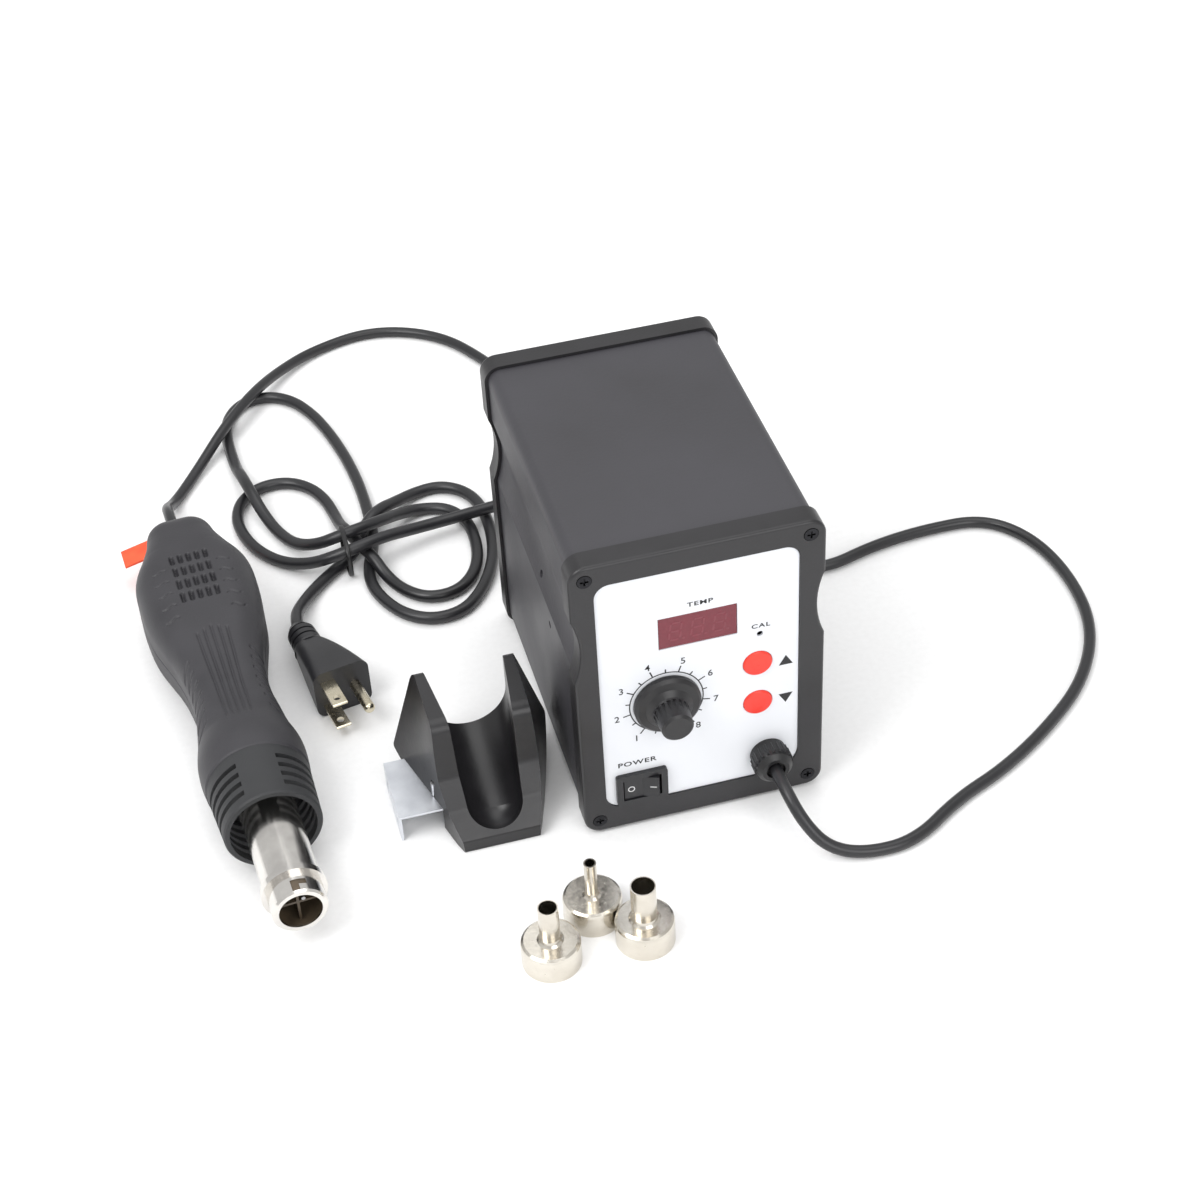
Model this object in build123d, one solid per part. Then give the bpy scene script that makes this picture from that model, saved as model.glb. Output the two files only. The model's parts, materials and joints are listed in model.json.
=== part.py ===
from build123d import *
import math
import os

# Hot air station: control station, hot air gun on its cord, gun holder, three nozzles and mains lead.
# Millimetres. Origin: centre of the station's base on the table. +X right, +Y back, +Z up.

# ---- clearances ---------------------------------------------------------------------------
RUNNING = 0.05            # radial, shaft in its bearing
SLIP = 0.2                # radial, loose hole round a fixed or sliding piece
SEAT = 0.15               # sheet or sleeve in its groove

# ---- case ---------------------------------------------------------------------------------
BODY_W = 100.0
BODY_D = 146.0
BODY_H = 137.5
FOOT_GAP = 1.0            # the end covers stand this far off the table
CASE_CORNER = 7.0
SCALLOP_DEPTH = 3.0       # finger groove along both sides
SCALLOP_CHORD = 31.0
SCALLOP_Z = 97.5
COVER_DEPTH = 10.0
COVER_PLATE = 3.5
COVER_WALL = 5.0
SLEEVE_STEP = 1.5         # the sleeve lies this far inside the covers' outline
SLEEVE_WALL = 1.5
SLEEVE_SEAT = 4.0         # the sleeve's end inside each cover
SCREW_INSET = 6.2
SCREW_SHANK = 2.8
SCREW_HEAD = 5.6
SCREW_HEAD_H = 1.8
SCREW_SINK = 1.6          # head recess in a cover
SCREW_LENGTH = 14.0
PORT_D = 7.0              # screw port along each inner corner of the sleeve
FOOT_D = 11.0
FOOT_STEM = 4.0
FOOT_X = 42.0
FOOT_YS = (-45.0, 56.0)
DATUM = (-FOOT_X, FOOT_YS[0])  # left front foot: the object's origin is the centre of its underside
HOLDER_HOLE_D = 3.2       # two screw holes for the gun holder in the left wall
HOLDER_HOLES = ((-9.0, 86.5), (-26.0, 74.0))

# ---- front panel --------------------------------------------------------------------------
PANEL_W = 80.0
PANEL_H = 115.5
PANEL_X = -0.5
PANEL_Z = 70.75
PANEL_T = 1.0
PANEL_SINK = 1.8          # depth of the panel's recess in the bezel
PANEL_CORNER = 6.0
PANEL_GLAND_CORNER = 11.0
WINDOW_W = 31.0
WINDOW_H = 15.0
WINDOW_T = 2.0
WINDOW_X = -0.8
WINDOW_Z = 98.2
MODULE_W = 30.2
MODULE_H = 14.0
MODULE_T = 8.0
CAL_X = 23.9
CAL_Z = 88.0
CAL_HOLE_D = 2.6
BUTTON_X = 22.9
UP_Z = 73.2
DOWN_Z = 52.6
BUTTON_D = 11.8
BUTTON_PROUD = 1.3        # cap above the panel
BUTTON_FLANGE = 1.2
BUTTON_TRAVEL = 1.0
KNOB_X = -14.2
KNOB_Z = 63.6
KNOB_SKIRT_D = 27.0
KNOB_SKIRT_T = 3.2
KNOB_STEM_D = 14.0
KNOB_TIP_D = 12.8
KNOB_H = 16.5
KNOB_GAP = 0.5            # skirt off the panel
SHAFT_D = 6.0
BUSHING_D = 7.0
NUT_AF = 10.0
NUT_T = 2.0
POT_D = 16.5
POT_T = 8.0
SWITCH_W = 21.0
SWITCH_H = 15.8
SWITCH_FLANGE = 2.0
SWITCH_X = -25.8
SWITCH_Z = 21.6
SWITCH_BODY_W = 18.6
SWITCH_BODY_H = 12.8
SWITCH_BODY_D = 16.0
ROCKER_H = 10.4
ROCKER_R = 7.6            # radius of the rocker's ends about its pivot
ROCKER_THROW = 20.0       # degrees between the two positions
ROCKER_FACE = 2.0         # pressed face above the pivot
PIVOT_SINK = 1.5          # pivot behind the case's front face
PIVOT_D = 2.4

# ---- control board ------------------------------------------------------------------------
BOARD_SET = 14.0          # board's front face behind the case's front face
BOARD_T = 1.6
BOARD_W = 84.0
BOARD_Z0 = 34.0
BOARD_Z1 = 122.0
TACT_SIZE = 6.0
TACT_T = 3.5
TRIM_SIZE = 6.6
TRIM_T = 5.0
TRIM_ROTOR_D = 3.4
STANDOFF_D = 6.0

# ---- cable gland --------------------------------------------------------------------------
GLAND_X = 27.0
GLAND_Z = 23.6
GLAND_THREAD_D = 12.0
GLAND_CAP_D = 16.4
GLAND_CAP_L = 11.0
GLAND_BORE = 8.0
GLAND_RIBS = 20

# ---- power side ---------------------------------------------------------------------------
POWER_BOARD = (76.0, 92.0, 1.6)
POWER_BOARD_Z = 11.0
POWER_BOARD_Y = 10.0
CORE = (41.0, 34.0, 35.0)
COIL = (30.0, 50.0, 22.0)

# ---- gun, in its own frame: mouth at the origin, +Y back along the axis ------------------------
GUN_X = -167.6
GUN_Y = -98.0
GUN_AXIS_Z = 22.0
GUN_TURN = 4.0            # degrees, anticlockwise from above
SEAT_D = 22.0             # the ring that holds a nozzle
SEAT_LENGTH = 10.0
SEAT_WALL = 0.6
MOUTH_D = 17.0
FLANGE_D = 26.0
FLANGE_T = 3.0
TUBE_D = 23.0
TUBE_WALL = 0.8
TUBE_END = 84.0
MICA_D = SEAT_D - 2 * (SEAT_WALL + RUNNING)
MICA_WALL = 0.5
FORMER_W = 19.4
FORMER_T = 1.0
COIL_R = 8.2
COIL_WIRE = 0.45
COIL_TURNS = 10
CAGE_START = 46.0
CAGE_END = 73.0
CAGE_R0 = 20.0
CAGE_R1 = 21.3
CAGE_WALL = 2.4
CAGE_SLOTS = (51.5, 56.5, 61.5, 66.5)
CAGE_SLOT_W = 2.4
CAGE_BAND = 8.0           # half-width of the plain band on top
SHELL_WALL = 2.2
SHELL_POST = 17.4          # half-height of the screw posts, into both shells
# distance back from the mouth, half-width, half-height
HANDLE_SECTIONS = ((73, 21.5, 21.5), (86, 21.9, 21.8), (96, 20.0, 20.0), (110, 17.0, 17.2),
                   (128, 16.7, 17.0), (148, 19.6, 18.8), (168, 24.4, 20.8), (188, 26.0, 21.8),
                   (204, 24.6, 21.6), (216, 19.4, 20.8), (226, 15.6, 19.6), (234, 13.4, 17.6), (239.5, 9.0, 13.5))
TAIL_END = 239.5
CAVITY_END = HANDLE_SECTIONS[-2][0]
TAIL_POST_Y = 218.0
HEAD_Y = 188.0
FAN_D = 42.0
FAN_HALF_H = 12.5
FAN_WALL = 1.5
IMPELLER_D = 34.0
IMPELLER_BLADES = 12
MOTOR_D = 18.0
SHAFT_FAN = 2.0
BOOT_D = 7.4
BOOT_TIP_D = 5.8
BOOT_LENGTH = 17.0
BOOT_FLANGE_T = 1.2
BOOT_DROP = 4.0           # the cord leaves this far under the gun's axis
TAG_LENGTH = 12.0
TAG_FLAG = 22.0
TAG_T = 0.5

# ---- nozzles, standing mouth down -------------------------------------------------------------
CAP_D = 23.2
CAP_WALL = 0.5
CAP_H = 11.8
NOZZLE_TUBE_H = 17.6
NOZZLE_WALL = 0.5
NOZZLES = {"nozzle_8mm": (8.0, -78.9, -131.2), "nozzle_5mm": (5.0, -58.0, -114.1),
           "nozzle_10mm": (10.0, -41.9, -131.5)}
NOZZLE_FIT = 0.1          # radial, cap bore round the gun's seat

# ---- gun holder ---------------------------------------------------------------------------
CRADLE_X = -83.0
CRADLE_BACK = -10.0
CRADLE_FRONT = -67.0
CRADLE_TOP = 52.0
CRADLE_HEEL = 13.0        # height of the underside at the back
BACK_HALF_W = (36.6, 20.5)    # at the table and at the top
FRONT_HALF_W = (15.5, 19.5)
TROUGH_R_BACK = 17.0
TROUGH_FLOOR_BACK = 16.5
TROUGH_R_FRONT = 11.5
TROUGH_FLOOR_FRONT = 3.0
TROUGH_END_Y = -56.0
BRACKET_T = 1.0
BRACKET_X0 = -121.6
BRACKET_X1 = -99.0
BRACKET_Y0 = -52.6
BRACKET_Y1 = -19.6
BRACKET_TOP = 13.0
BRACKET_HOLE_D = 3.2
BRACKET_HOLE_GAP = 21.0
BRACKET_SCREW_X = -105.0
BRACKET_SCREW_YS = (-44.0, -29.0)

# ---- mains lead ---------------------------------------------------------------------------
MAINS_D = 5.6
MAINS_X = -8.0
MAINS_Z = 20.0
RELIEF_L = 28.0
RELIEF_D = 11.0
PLUG_TAIL = (-141.4, 76.0)
PLUG_TURN = 11.2          # degrees, the plug's length against -Y
PLUG_AXIS_Z = 12.2
PLUG_BODY_L = 30.0
PLUG_NECK_L = 16.0
BLADE_W = 6.35
BLADE_T = 1.5
BLADE_L = 15.9
BLADE_GAP = 12.7
EARTH_D = 4.8
EARTH_L = 18.5
EARTH_OFFSET = 11.9
LEAD_Z = 2.9              # height of the lead's centre on the table

# ---- handle cord --------------------------------------------------------------------------
CORD_D = 5.2
CORD_Z = 2.7

FRONT = -BODY_D / 2
REAR = BODY_D / 2
MID_Z = FOOT_GAP + BODY_H / 2
SLEEVE_Y0 = FRONT + COVER_DEPTH - SLEEVE_SEAT
SLEEVE_Y1 = REAR - COVER_DEPTH + SLEEVE_SEAT
PANEL_FACE = FRONT + PANEL_SINK - PANEL_T
PLATE_BACK = FRONT + COVER_PLATE
BOARD_FACE = FRONT + BOARD_SET
SLEEVE_FLOOR = FOOT_GAP + SLEEVE_STEP + SLEEVE_WALL
SCREW_SPOTS = [(sx * (BODY_W / 2 - SCREW_INSET), MID_Z + sz * (BODY_H / 2 - SCREW_INSET))
               for sx in (-1, 1) for sz in (-1, 1)]


# ---- drawing helpers ----------------------------------------------------------------------
def across(sketch, y0, y1):
    """Extrude a front-view sketch (x, z) between two depths."""
    return extrude(Plane.XZ.offset(-y1) * sketch, amount=y1 - y0)


def rod(x, z, diameter, y0, y1):
    """Round bar along Y."""
    return across(Pos(x, z) * Circle(diameter / 2), y0, y1)


def post(x, y, diameter, z0, z1):
    """Round bar along Z."""
    return extrude(Pos(x, y, z0) * Circle(diameter / 2), amount=z1 - z0)


def block(x0, x1, y0, y1, z0, z1):
    """Box between two corners."""
    centre = Pos((x0 + x1) / 2, (y0 + y1) / 2, (z0 + z1) / 2)
    return centre * Box(x1 - x0, y1 - y0, z1 - z0)


def spin_y(points, x=0.0, z=0.0):
    """Turn a closed outline of (radius, y) points about an axis along Y."""
    face = make_face(Polyline(*[(r, y) for r, y in points], close=True))
    return Pos(x, 0, z) * revolve(face, Axis.Y)


def spin_z(points):
    """Turn a closed outline of (radius, z) points about Z."""
    face = make_face(Polyline(*[(r, 0, z) for r, z in points], close=True))
    return revolve(face, Axis.Z)


def save(name, *shapes):
    """Write a node from one solid or a group of separate solids, measured from the datum foot."""
    solids = [Pos(-DATUM[0], -DATUM[1]) * solid for shape in shapes for solid in shape.solids()]
    export_step(solids[0] if len(solids) == 1 else Compound(solids), f"parts/{name}.step")


def case_outline(inset=0.0):
    """Upright rounded rectangle with a finger scallop in each side."""
    corner = CASE_CORNER - inset
    outline = Pos(0, MID_Z) * RectangleRounded(BODY_W - 2 * inset, BODY_H - 2 * inset, corner)
    radius = (SCALLOP_CHORD ** 2 / 4 + SCALLOP_DEPTH ** 2) / (2 * SCALLOP_DEPTH)
    for side in (-1, 1):
        centre_x = side * (BODY_W / 2 - SCALLOP_DEPTH + radius)
        outline -= Pos(centre_x, SCALLOP_Z) * Circle(radius + inset)
    return outline


def dots(spots, diameter):
    """The same circle at each (x, z) spot."""
    return [Pos(x, z) * Circle(diameter / 2) for x, z in spots]


def cross_screw(x, z, y_head, y_tip, out):
    """Pan-head screw along Y. out is -1 where the head faces the front and +1 at the rear."""
    y_face = y_head + out * SCREW_HEAD_H
    head = rod(x, z, SCREW_HEAD, min(y_head, y_face), max(y_head, y_face))
    shank = rod(x, z, SCREW_SHANK, min(y_head, y_tip), max(y_head, y_tip))
    recess = Pos(x, z) * (Rectangle(3.2, 0.8) + Rectangle(0.8, 3.2))
    y_recess = y_face - out * 0.9
    return head + shank - across(recess, min(y_face, y_recess), max(y_face, y_recess))


def panel_outline(slack=0.0):
    """The front panel's outline; the corner beside the gland is rounder."""
    sheet = Rectangle(PANEL_W + 2 * slack, PANEL_H + 2 * slack)
    low_right = sheet.vertices().sort_by(Axis.Y)[:2].sort_by(Axis.X)[-1]
    others = [v for v in sheet.vertices() if (v.center() - low_right.center()).length > 1]
    sheet = fillet(others, PANEL_CORNER + slack)
    corner = sheet.vertices().sort_by(lambda v: v.X - v.Y)[-1]
    return Pos(PANEL_X, PANEL_Z) * fillet(corner, PANEL_GLAND_CORNER + slack)


def panel_openings(slack=0.0):
    """Every opening that the panel and the bezel's plate share."""
    window = Pos(WINDOW_X, WINDOW_Z) * Rectangle(WINDOW_W + 2 * slack, WINDOW_H + 2 * slack)
    switch = Pos(SWITCH_X, SWITCH_Z) * Rectangle(SWITCH_BODY_W + 2 * slack, SWITCH_BODY_H + 2 * slack)
    buttons = dots([(BUTTON_X, UP_Z), (BUTTON_X, DOWN_Z)], BUTTON_D + 2 * slack)
    knob = dots([(KNOB_X, KNOB_Z)], BUSHING_D + 2 * slack)
    gland = dots([(GLAND_X, GLAND_Z)], GLAND_THREAD_D + 2 * slack)
    trimmer = dots([(CAL_X, CAL_Z)], CAL_HOLE_D)
    return [window, switch, *buttons, *knob, *gland, *trimmer]


# ---- case ---------------------------------------------------------------------------------
def end_cover(y_face, inward):
    """Cup-shaped end cover. inward is +1 at the front and -1 at the rear."""
    def span(near, far):
        return sorted((y_face + inward * near, y_face + inward * far))

    solid = across(case_outline(), *span(0, COVER_DEPTH))
    face_edges = solid.faces().sort_by(Axis.Y)[0 if inward > 0 else -1].outer_wire().edges()
    solid = fillet(face_edges, 1.4)
    hollow = case_outline(COVER_WALL)
    for spot in dots(SCREW_SPOTS, PORT_D + 2.5):
        hollow -= spot
    solid -= across(hollow, *span(COVER_PLATE, COVER_DEPTH))
    solid -= across(case_outline(SLEEVE_STEP - SEAT), *span(COVER_DEPTH - SLEEVE_SEAT, COVER_DEPTH))
    for x, z in SCREW_SPOTS:
        solid -= rod(x, z, SCREW_SHANK + 2 * SLIP, *span(0, COVER_DEPTH))
        solid -= rod(x, z, SCREW_HEAD + 2 * SLIP, *span(0, SCREW_SINK))
    return solid


def front_bezel():
    solid = end_cover(FRONT, 1)
    solid -= across(panel_outline(SEAT), FRONT, FRONT + PANEL_SINK)
    for opening in panel_openings(SLIP):
        solid -= across(opening, FRONT, PLATE_BACK + 1)
    flange = Pos(SWITCH_X, SWITCH_Z) * Rectangle(SWITCH_W + 2 * SLIP, SWITCH_H + 2 * SLIP)
    return solid - across(flange, FRONT, FRONT + PANEL_SINK - PANEL_T)


def front_panel():
    solid = across(panel_outline(), PANEL_FACE, PANEL_FACE + PANEL_T)
    for opening in panel_openings(SLIP):
        solid -= across(opening, FRONT, PLATE_BACK)
    return solid


def rear_cover():
    solid = end_cover(REAR, -1)
    vents = [Pos(column * 7.0, row) * SlotOverall(26, 2.4, rotation=90)
             for column in range(-4, 5) for row in (72.0, 104.0)]
    for vent in vents:
        solid -= across(vent, REAR - COVER_PLATE - 1, REAR)
    return solid - rod(MAINS_X, MAINS_Z, RELIEF_D + 2 * SLIP, REAR - COVER_PLATE - 1, REAR)


def sleeve_case():
    """Extruded sleeve with a screw port along each inner corner."""
    section = case_outline(SLEEVE_STEP) - case_outline(SLEEVE_STEP + SLEEVE_WALL)
    bound = case_outline(SLEEVE_STEP)
    for spot in dots(SCREW_SPOTS, PORT_D):
        section += spot & bound
    for core in dots(SCREW_SPOTS, SCREW_SHANK + 2 * RUNNING):
        section -= core
    solid = across(section, SLEEVE_Y0, SLEEVE_Y1)
    for x in (-FOOT_X, FOOT_X):
        for y in FOOT_YS:
            solid -= post(x, y, FOOT_STEM + 2 * SEAT, 0, SLEEVE_FLOOR + 1)
    for y, z in HOLDER_HOLES:
        drill = Pos(-BODY_W / 2, y, z) * Rot(0, 90, 0) * Cylinder(HOLDER_HOLE_D / 2, 14)
        solid -= drill
    return solid


def rubber_feet():
    """Push-in feet: pad under the sleeve, stem through its floor, barb above."""
    under = FOOT_GAP + SLEEVE_STEP
    outline = [(0, 0), (FOOT_D / 2 - 1, 0), (FOOT_D / 2, under), (FOOT_STEM / 2, under),
               (FOOT_STEM / 2, SLEEVE_FLOOR + SEAT), (FOOT_STEM / 2 + 0.8, SLEEVE_FLOOR + SEAT),
               (FOOT_STEM / 2 - 0.6, SLEEVE_FLOOR + 2.5), (0, SLEEVE_FLOOR + 2.5)]
    return [Pos(x, y, 0) * spin_z(outline) for x in (-FOOT_X, FOOT_X) for y in FOOT_YS]


def cover_screws():
    front = [cross_screw(x, z, FRONT + SCREW_SINK, FRONT + SCREW_LENGTH, -1) for x, z in SCREW_SPOTS]
    rear = [cross_screw(x, z, REAR - SCREW_SINK, REAR - SCREW_LENGTH, 1) for x, z in SCREW_SPOTS]
    return front + rear


# ---- front panel parts --------------------------------------------------------------------
def display_window():
    window = Pos(WINDOW_X, WINDOW_Z) * Rectangle(WINDOW_W, WINDOW_H)
    return across(window, PANEL_FACE + 0.3, PANEL_FACE + 0.3 + WINDOW_T)


def display_module():
    """Three-digit numeric display with two rows of pins down to the board."""
    y_glass = PANEL_FACE + 0.3 + WINDOW_T
    body = Pos(WINDOW_X, WINDOW_Z) * Rectangle(MODULE_W, MODULE_H)
    solid = across(body, y_glass, y_glass + MODULE_T)
    for row in (-1, 1):
        for pin in range(-3, 4):
            x, z = WINDOW_X + pin * 3.8, WINDOW_Z + row * 5.6
            solid += rod(x, z, 0.7, y_glass + MODULE_T, BOARD_FACE)
    return solid


def switch_housing():
    """Snap-in housing; a round pocket clears the rocker's ends."""
    pivot_y = FRONT + PIVOT_SINK
    flange = Pos(SWITCH_X, SWITCH_Z) * RectangleRounded(SWITCH_W, SWITCH_H, 1.2)
    body = Pos(SWITCH_X, SWITCH_Z) * Rectangle(SWITCH_BODY_W, SWITCH_BODY_H)
    solid = across(flange, PANEL_FACE - SWITCH_FLANGE, PANEL_FACE)
    solid += across(body, PANEL_FACE, PANEL_FACE + SWITCH_BODY_D)
    half_h = ROCKER_H / 2 + SLIP
    half_w = ROCKER_R + SLIP + 0.1
    mouth = (SWITCH_X - half_w, SWITCH_X + half_w, PANEL_FACE - SWITCH_FLANGE - 1, pivot_y)
    solid -= block(*mouth, SWITCH_Z - half_h, SWITCH_Z + half_h)
    solid -= post(SWITCH_X, pivot_y, 2 * half_w, SWITCH_Z - half_h, SWITCH_Z + half_h)
    solid -= post(SWITCH_X, pivot_y, PIVOT_D + 2 * RUNNING, SWITCH_Z - half_h - 0.9, SWITCH_Z + half_h + 0.9)
    for blade in (-1, 0, 1):
        x = SWITCH_X + blade * 6.0
        y0 = PANEL_FACE + SWITCH_BODY_D
        solid += block(x - 0.4, x + 0.4, y0, y0 + 6, SWITCH_Z - 2.4, SWITCH_Z + 2.4)
    return solid


def switch_rocker():
    """Rocker with its left half pressed: flat on the left, raised on the right."""
    pivot = Pos(SWITCH_X, FRONT + PIVOT_SINK)
    rise = math.tan(math.radians(ROCKER_THROW)) * ROCKER_R
    cap = make_face(Polyline((-ROCKER_R, 3), (ROCKER_R, 3), (ROCKER_R, -ROCKER_FACE - rise),
                             (0, -ROCKER_FACE), (-ROCKER_R, -ROCKER_FACE), close=True))
    section = pivot * (cap & Circle(ROCKER_R))
    solid = extrude(Pos(0, 0, SWITCH_Z - ROCKER_H / 2) * section, amount=ROCKER_H)
    reach = ROCKER_H / 2 + SLIP + 0.7
    return solid + post(SWITCH_X, FRONT + PIVOT_SINK, PIVOT_D, SWITCH_Z - reach, SWITCH_Z + reach)


def knob_profile_y(distance):
    """Depth at a distance in front of the panel."""
    return PANEL_FACE - distance


def airflow_knob():
    """Skirted knob with shallow grip flutes round its stem and a recess over the nut."""
    skirt, stem, tip = KNOB_SKIRT_D / 2, KNOB_STEM_D / 2, KNOB_TIP_D / 2
    base, top = KNOB_GAP, KNOB_GAP + KNOB_SKIRT_T
    outline = [(0, base + NUT_T + 1.2), (NUT_AF / 2 + 2, base + NUT_T + 1.2), (NUT_AF / 2 + 2, base),
               (skirt, base), (skirt, top - 1.2), (skirt - 1.2, top), (stem + 2.5, top + 0.8),
               (stem + 0.4, top + 2.6), (stem, top + 4), (tip, KNOB_H - 1), (tip - 1, KNOB_H), (0, KNOB_H)]
    solid = spin_y([(r, knob_profile_y(d)) for r, d in outline], KNOB_X, KNOB_Z)
    for flute in range(18):
        turn = math.radians(flute * 20)
        x, z = KNOB_X + (stem + 0.55) * math.cos(turn), KNOB_Z + (stem + 0.55) * math.sin(turn)
        solid -= rod(x, z, 1.8, knob_profile_y(KNOB_H), knob_profile_y(top + 3.4))
    bore = rod(KNOB_X, KNOB_Z, SHAFT_D + 2 * RUNNING, knob_profile_y(KNOB_H - 2), PANEL_FACE)
    return solid - bore


def knob_shaft():
    return rod(KNOB_X, KNOB_Z, SHAFT_D, knob_profile_y(KNOB_H - 2), PLATE_BACK + POT_T - 1.5)


def airflow_potentiometer():
    """Round body behind the plate, threaded bushing through it, three pins to the board."""
    solid = rod(KNOB_X, KNOB_Z, POT_D, PLATE_BACK, PLATE_BACK + POT_T)
    solid += rod(KNOB_X, KNOB_Z, BUSHING_D, PANEL_FACE - NUT_T - 0.6, PLATE_BACK)
    solid -= rod(KNOB_X, KNOB_Z, SHAFT_D + 2 * RUNNING, PANEL_FACE - NUT_T - 1, PLATE_BACK + POT_T - 1.4)
    for pin in (-5, 0, 5):
        solid += rod(KNOB_X + pin, KNOB_Z - 5.5, 1.0, PLATE_BACK + POT_T, BOARD_FACE)
    return solid


def potentiometer_nut():
    hexagon = Pos(KNOB_X, KNOB_Z) * RegularPolygon(NUT_AF / 2, 6, major_radius=False)
    ring = hexagon - Pos(KNOB_X, KNOB_Z) * Circle(BUSHING_D / 2 + RUNNING)
    return across(ring, PANEL_FACE - NUT_T, PANEL_FACE)


def push_button(z):
    """Domed cap, a flange behind the plate that keeps it in, and a stem to its switch."""
    back = PLATE_BACK + SLIP + BUTTON_FLANGE
    radius = BUTTON_D / 2
    outline = [(0, PANEL_FACE - BUTTON_PROUD), (radius * 0.5, PANEL_FACE - BUTTON_PROUD + 0.12),
               (radius - 0.5, PANEL_FACE - BUTTON_PROUD + 0.5), (radius, PANEL_FACE - BUTTON_PROUD + 1),
               (radius, PLATE_BACK + SLIP), (radius + 0.9, PLATE_BACK + SLIP), (radius + 0.9, back),
               (1.7, back), (1.7, BOARD_FACE - TACT_T - SLIP), (0, BOARD_FACE - TACT_T - SLIP)]
    return spin_y(outline, BUTTON_X, z)


def board_components():
    """What is soldered to the control board: two key switches, the trimmer and the controller."""
    pieces = []
    for z in (UP_Z, DOWN_Z):
        body = block(BUTTON_X - TACT_SIZE / 2, BUTTON_X + TACT_SIZE / 2, BOARD_FACE - TACT_T, BOARD_FACE,
                     z - TACT_SIZE / 2, z + TACT_SIZE / 2)
        well = rod(BUTTON_X, z, 3.4 + 2 * SLIP, BOARD_FACE - TACT_T, BOARD_FACE - TACT_T + 2)
        pieces.append(body - well)
    trimmer = block(CAL_X - TRIM_SIZE / 2, CAL_X + TRIM_SIZE / 2, BOARD_FACE - TRIM_T, BOARD_FACE,
                    CAL_Z - TRIM_SIZE / 2, CAL_Z + TRIM_SIZE / 2)
    well = rod(CAL_X, CAL_Z, TRIM_ROTOR_D + 2 * RUNNING, BOARD_FACE - TRIM_T, BOARD_FACE - 1.5)
    pieces.append(trimmer - well)
    back = BOARD_FACE + BOARD_T
    pieces.append(block(-18, 17, back, back + 4, 74, 81.5))
    return pieces


def trimmer_rotor():
    face = BOARD_FACE - TRIM_T - 0.2
    solid = rod(CAL_X, CAL_Z, TRIM_ROTOR_D, face, BOARD_FACE - 1.5 - RUNNING)
    return solid - block(CAL_X - 2, CAL_X + 2, face, face + 0.8, CAL_Z - 0.35, CAL_Z + 0.35)


def standoff_spots():
    return [(sx * 37.5, z) for sx in (-1, 1) for z in (BOARD_Z0 + 5, BOARD_Z1 - 5)]


def control_board():
    sheet = Pos(0, (BOARD_Z0 + BOARD_Z1) / 2) * Rectangle(BOARD_W, BOARD_Z1 - BOARD_Z0)
    return across(sheet, BOARD_FACE, BOARD_FACE + BOARD_T)


def power_spots():
    half_x, half_y = POWER_BOARD[0] / 2 - 5, POWER_BOARD[1] / 2 - 5
    return [(sx * half_x, POWER_BOARD_Y + sy * half_y) for sx in (-1, 1) for sy in (-1, 1)]


def board_standoffs():
    """Pillars between the bezel's plate and the control board, and under the power board."""
    front = [rod(x, z, STANDOFF_D, PLATE_BACK, BOARD_FACE) for x, z in standoff_spots()]
    low = [post(x, y, STANDOFF_D, SLEEVE_FLOOR, POWER_BOARD_Z) for x, y in power_spots()]
    return front + low


# ---- cable gland --------------------------------------------------------------------------
def gland_body():
    """Threaded body through the bezel, with a collar that bears on the panel."""
    solid = rod(GLAND_X, GLAND_Z, GLAND_THREAD_D, PANEL_FACE - GLAND_CAP_L + 3, PLATE_BACK + 8)
    solid += rod(GLAND_X, GLAND_Z, GLAND_CAP_D - 1.5, PANEL_FACE - 2.5, PANEL_FACE)
    return solid - rod(GLAND_X, GLAND_Z, GLAND_BORE, FRONT - 20, PLATE_BACK + 10)


def gland_cap():
    """Domed clamping nut with grip ribs."""
    radius = GLAND_CAP_D / 2
    face = PANEL_FACE - GLAND_CAP_L
    inner = GLAND_THREAD_D / 2 + RUNNING
    outline = [(GLAND_BORE / 2, face), (radius - 2.6, face), (radius - 0.8, face + 1.8), (radius - 0.3, face + 4),
               (radius - 0.3, PANEL_FACE - 2.7), (inner, PANEL_FACE - 2.7),
               (inner, face + 2.9), (GLAND_BORE / 2, face + 2.9)]
    solid = spin_y(outline, GLAND_X, GLAND_Z)
    for rib in range(GLAND_RIBS):
        turn = math.radians(rib * 360 / GLAND_RIBS)
        x, z = GLAND_X + (radius - 0.5) * math.cos(turn), GLAND_Z + (radius - 0.5) * math.sin(turn)
        solid += rod(x, z, 1.1, face + 2.6, PANEL_FACE - 2.7)
    return solid


def gland_seal():
    """Rubber plug gripped in the cap's mouth; the cord starts at its face."""
    return rod(GLAND_X, GLAND_Z, GLAND_BORE - 2 * RUNNING, CORD_START_Y, PLATE_BACK + 6)


def gland_locknut():
    hexagon = Pos(GLAND_X, GLAND_Z) * RegularPolygon(GLAND_CAP_D / 2, 6, major_radius=False)
    ring = hexagon - Pos(GLAND_X, GLAND_Z) * Circle(GLAND_THREAD_D / 2 + RUNNING)
    return across(ring, PLATE_BACK, PLATE_BACK + 4)


# ---- power side ---------------------------------------------------------------------------
def power_board():
    width, depth, thick = POWER_BOARD
    return block(-width / 2, width / 2, POWER_BOARD_Y - depth / 2, POWER_BOARD_Y + depth / 2,
                 POWER_BOARD_Z, POWER_BOARD_Z + thick)


BOARD_TOP = POWER_BOARD_Z + POWER_BOARD[2]
CORE_Y = POWER_BOARD_Y + 20.0


def transformer_core():
    """Laminated frame with two windows round its centre limb."""
    width, depth, height = CORE
    solid = block(-width / 2, width / 2, CORE_Y - 10, CORE_Y + 10, BOARD_TOP, BOARD_TOP + height)
    for side in (-1, 1):
        x = side * width * 0.29
        solid -= block(x - 4, x + 4, CORE_Y - depth, CORE_Y + depth, BOARD_TOP + 6, BOARD_TOP + height - 6)
    return solid


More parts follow.
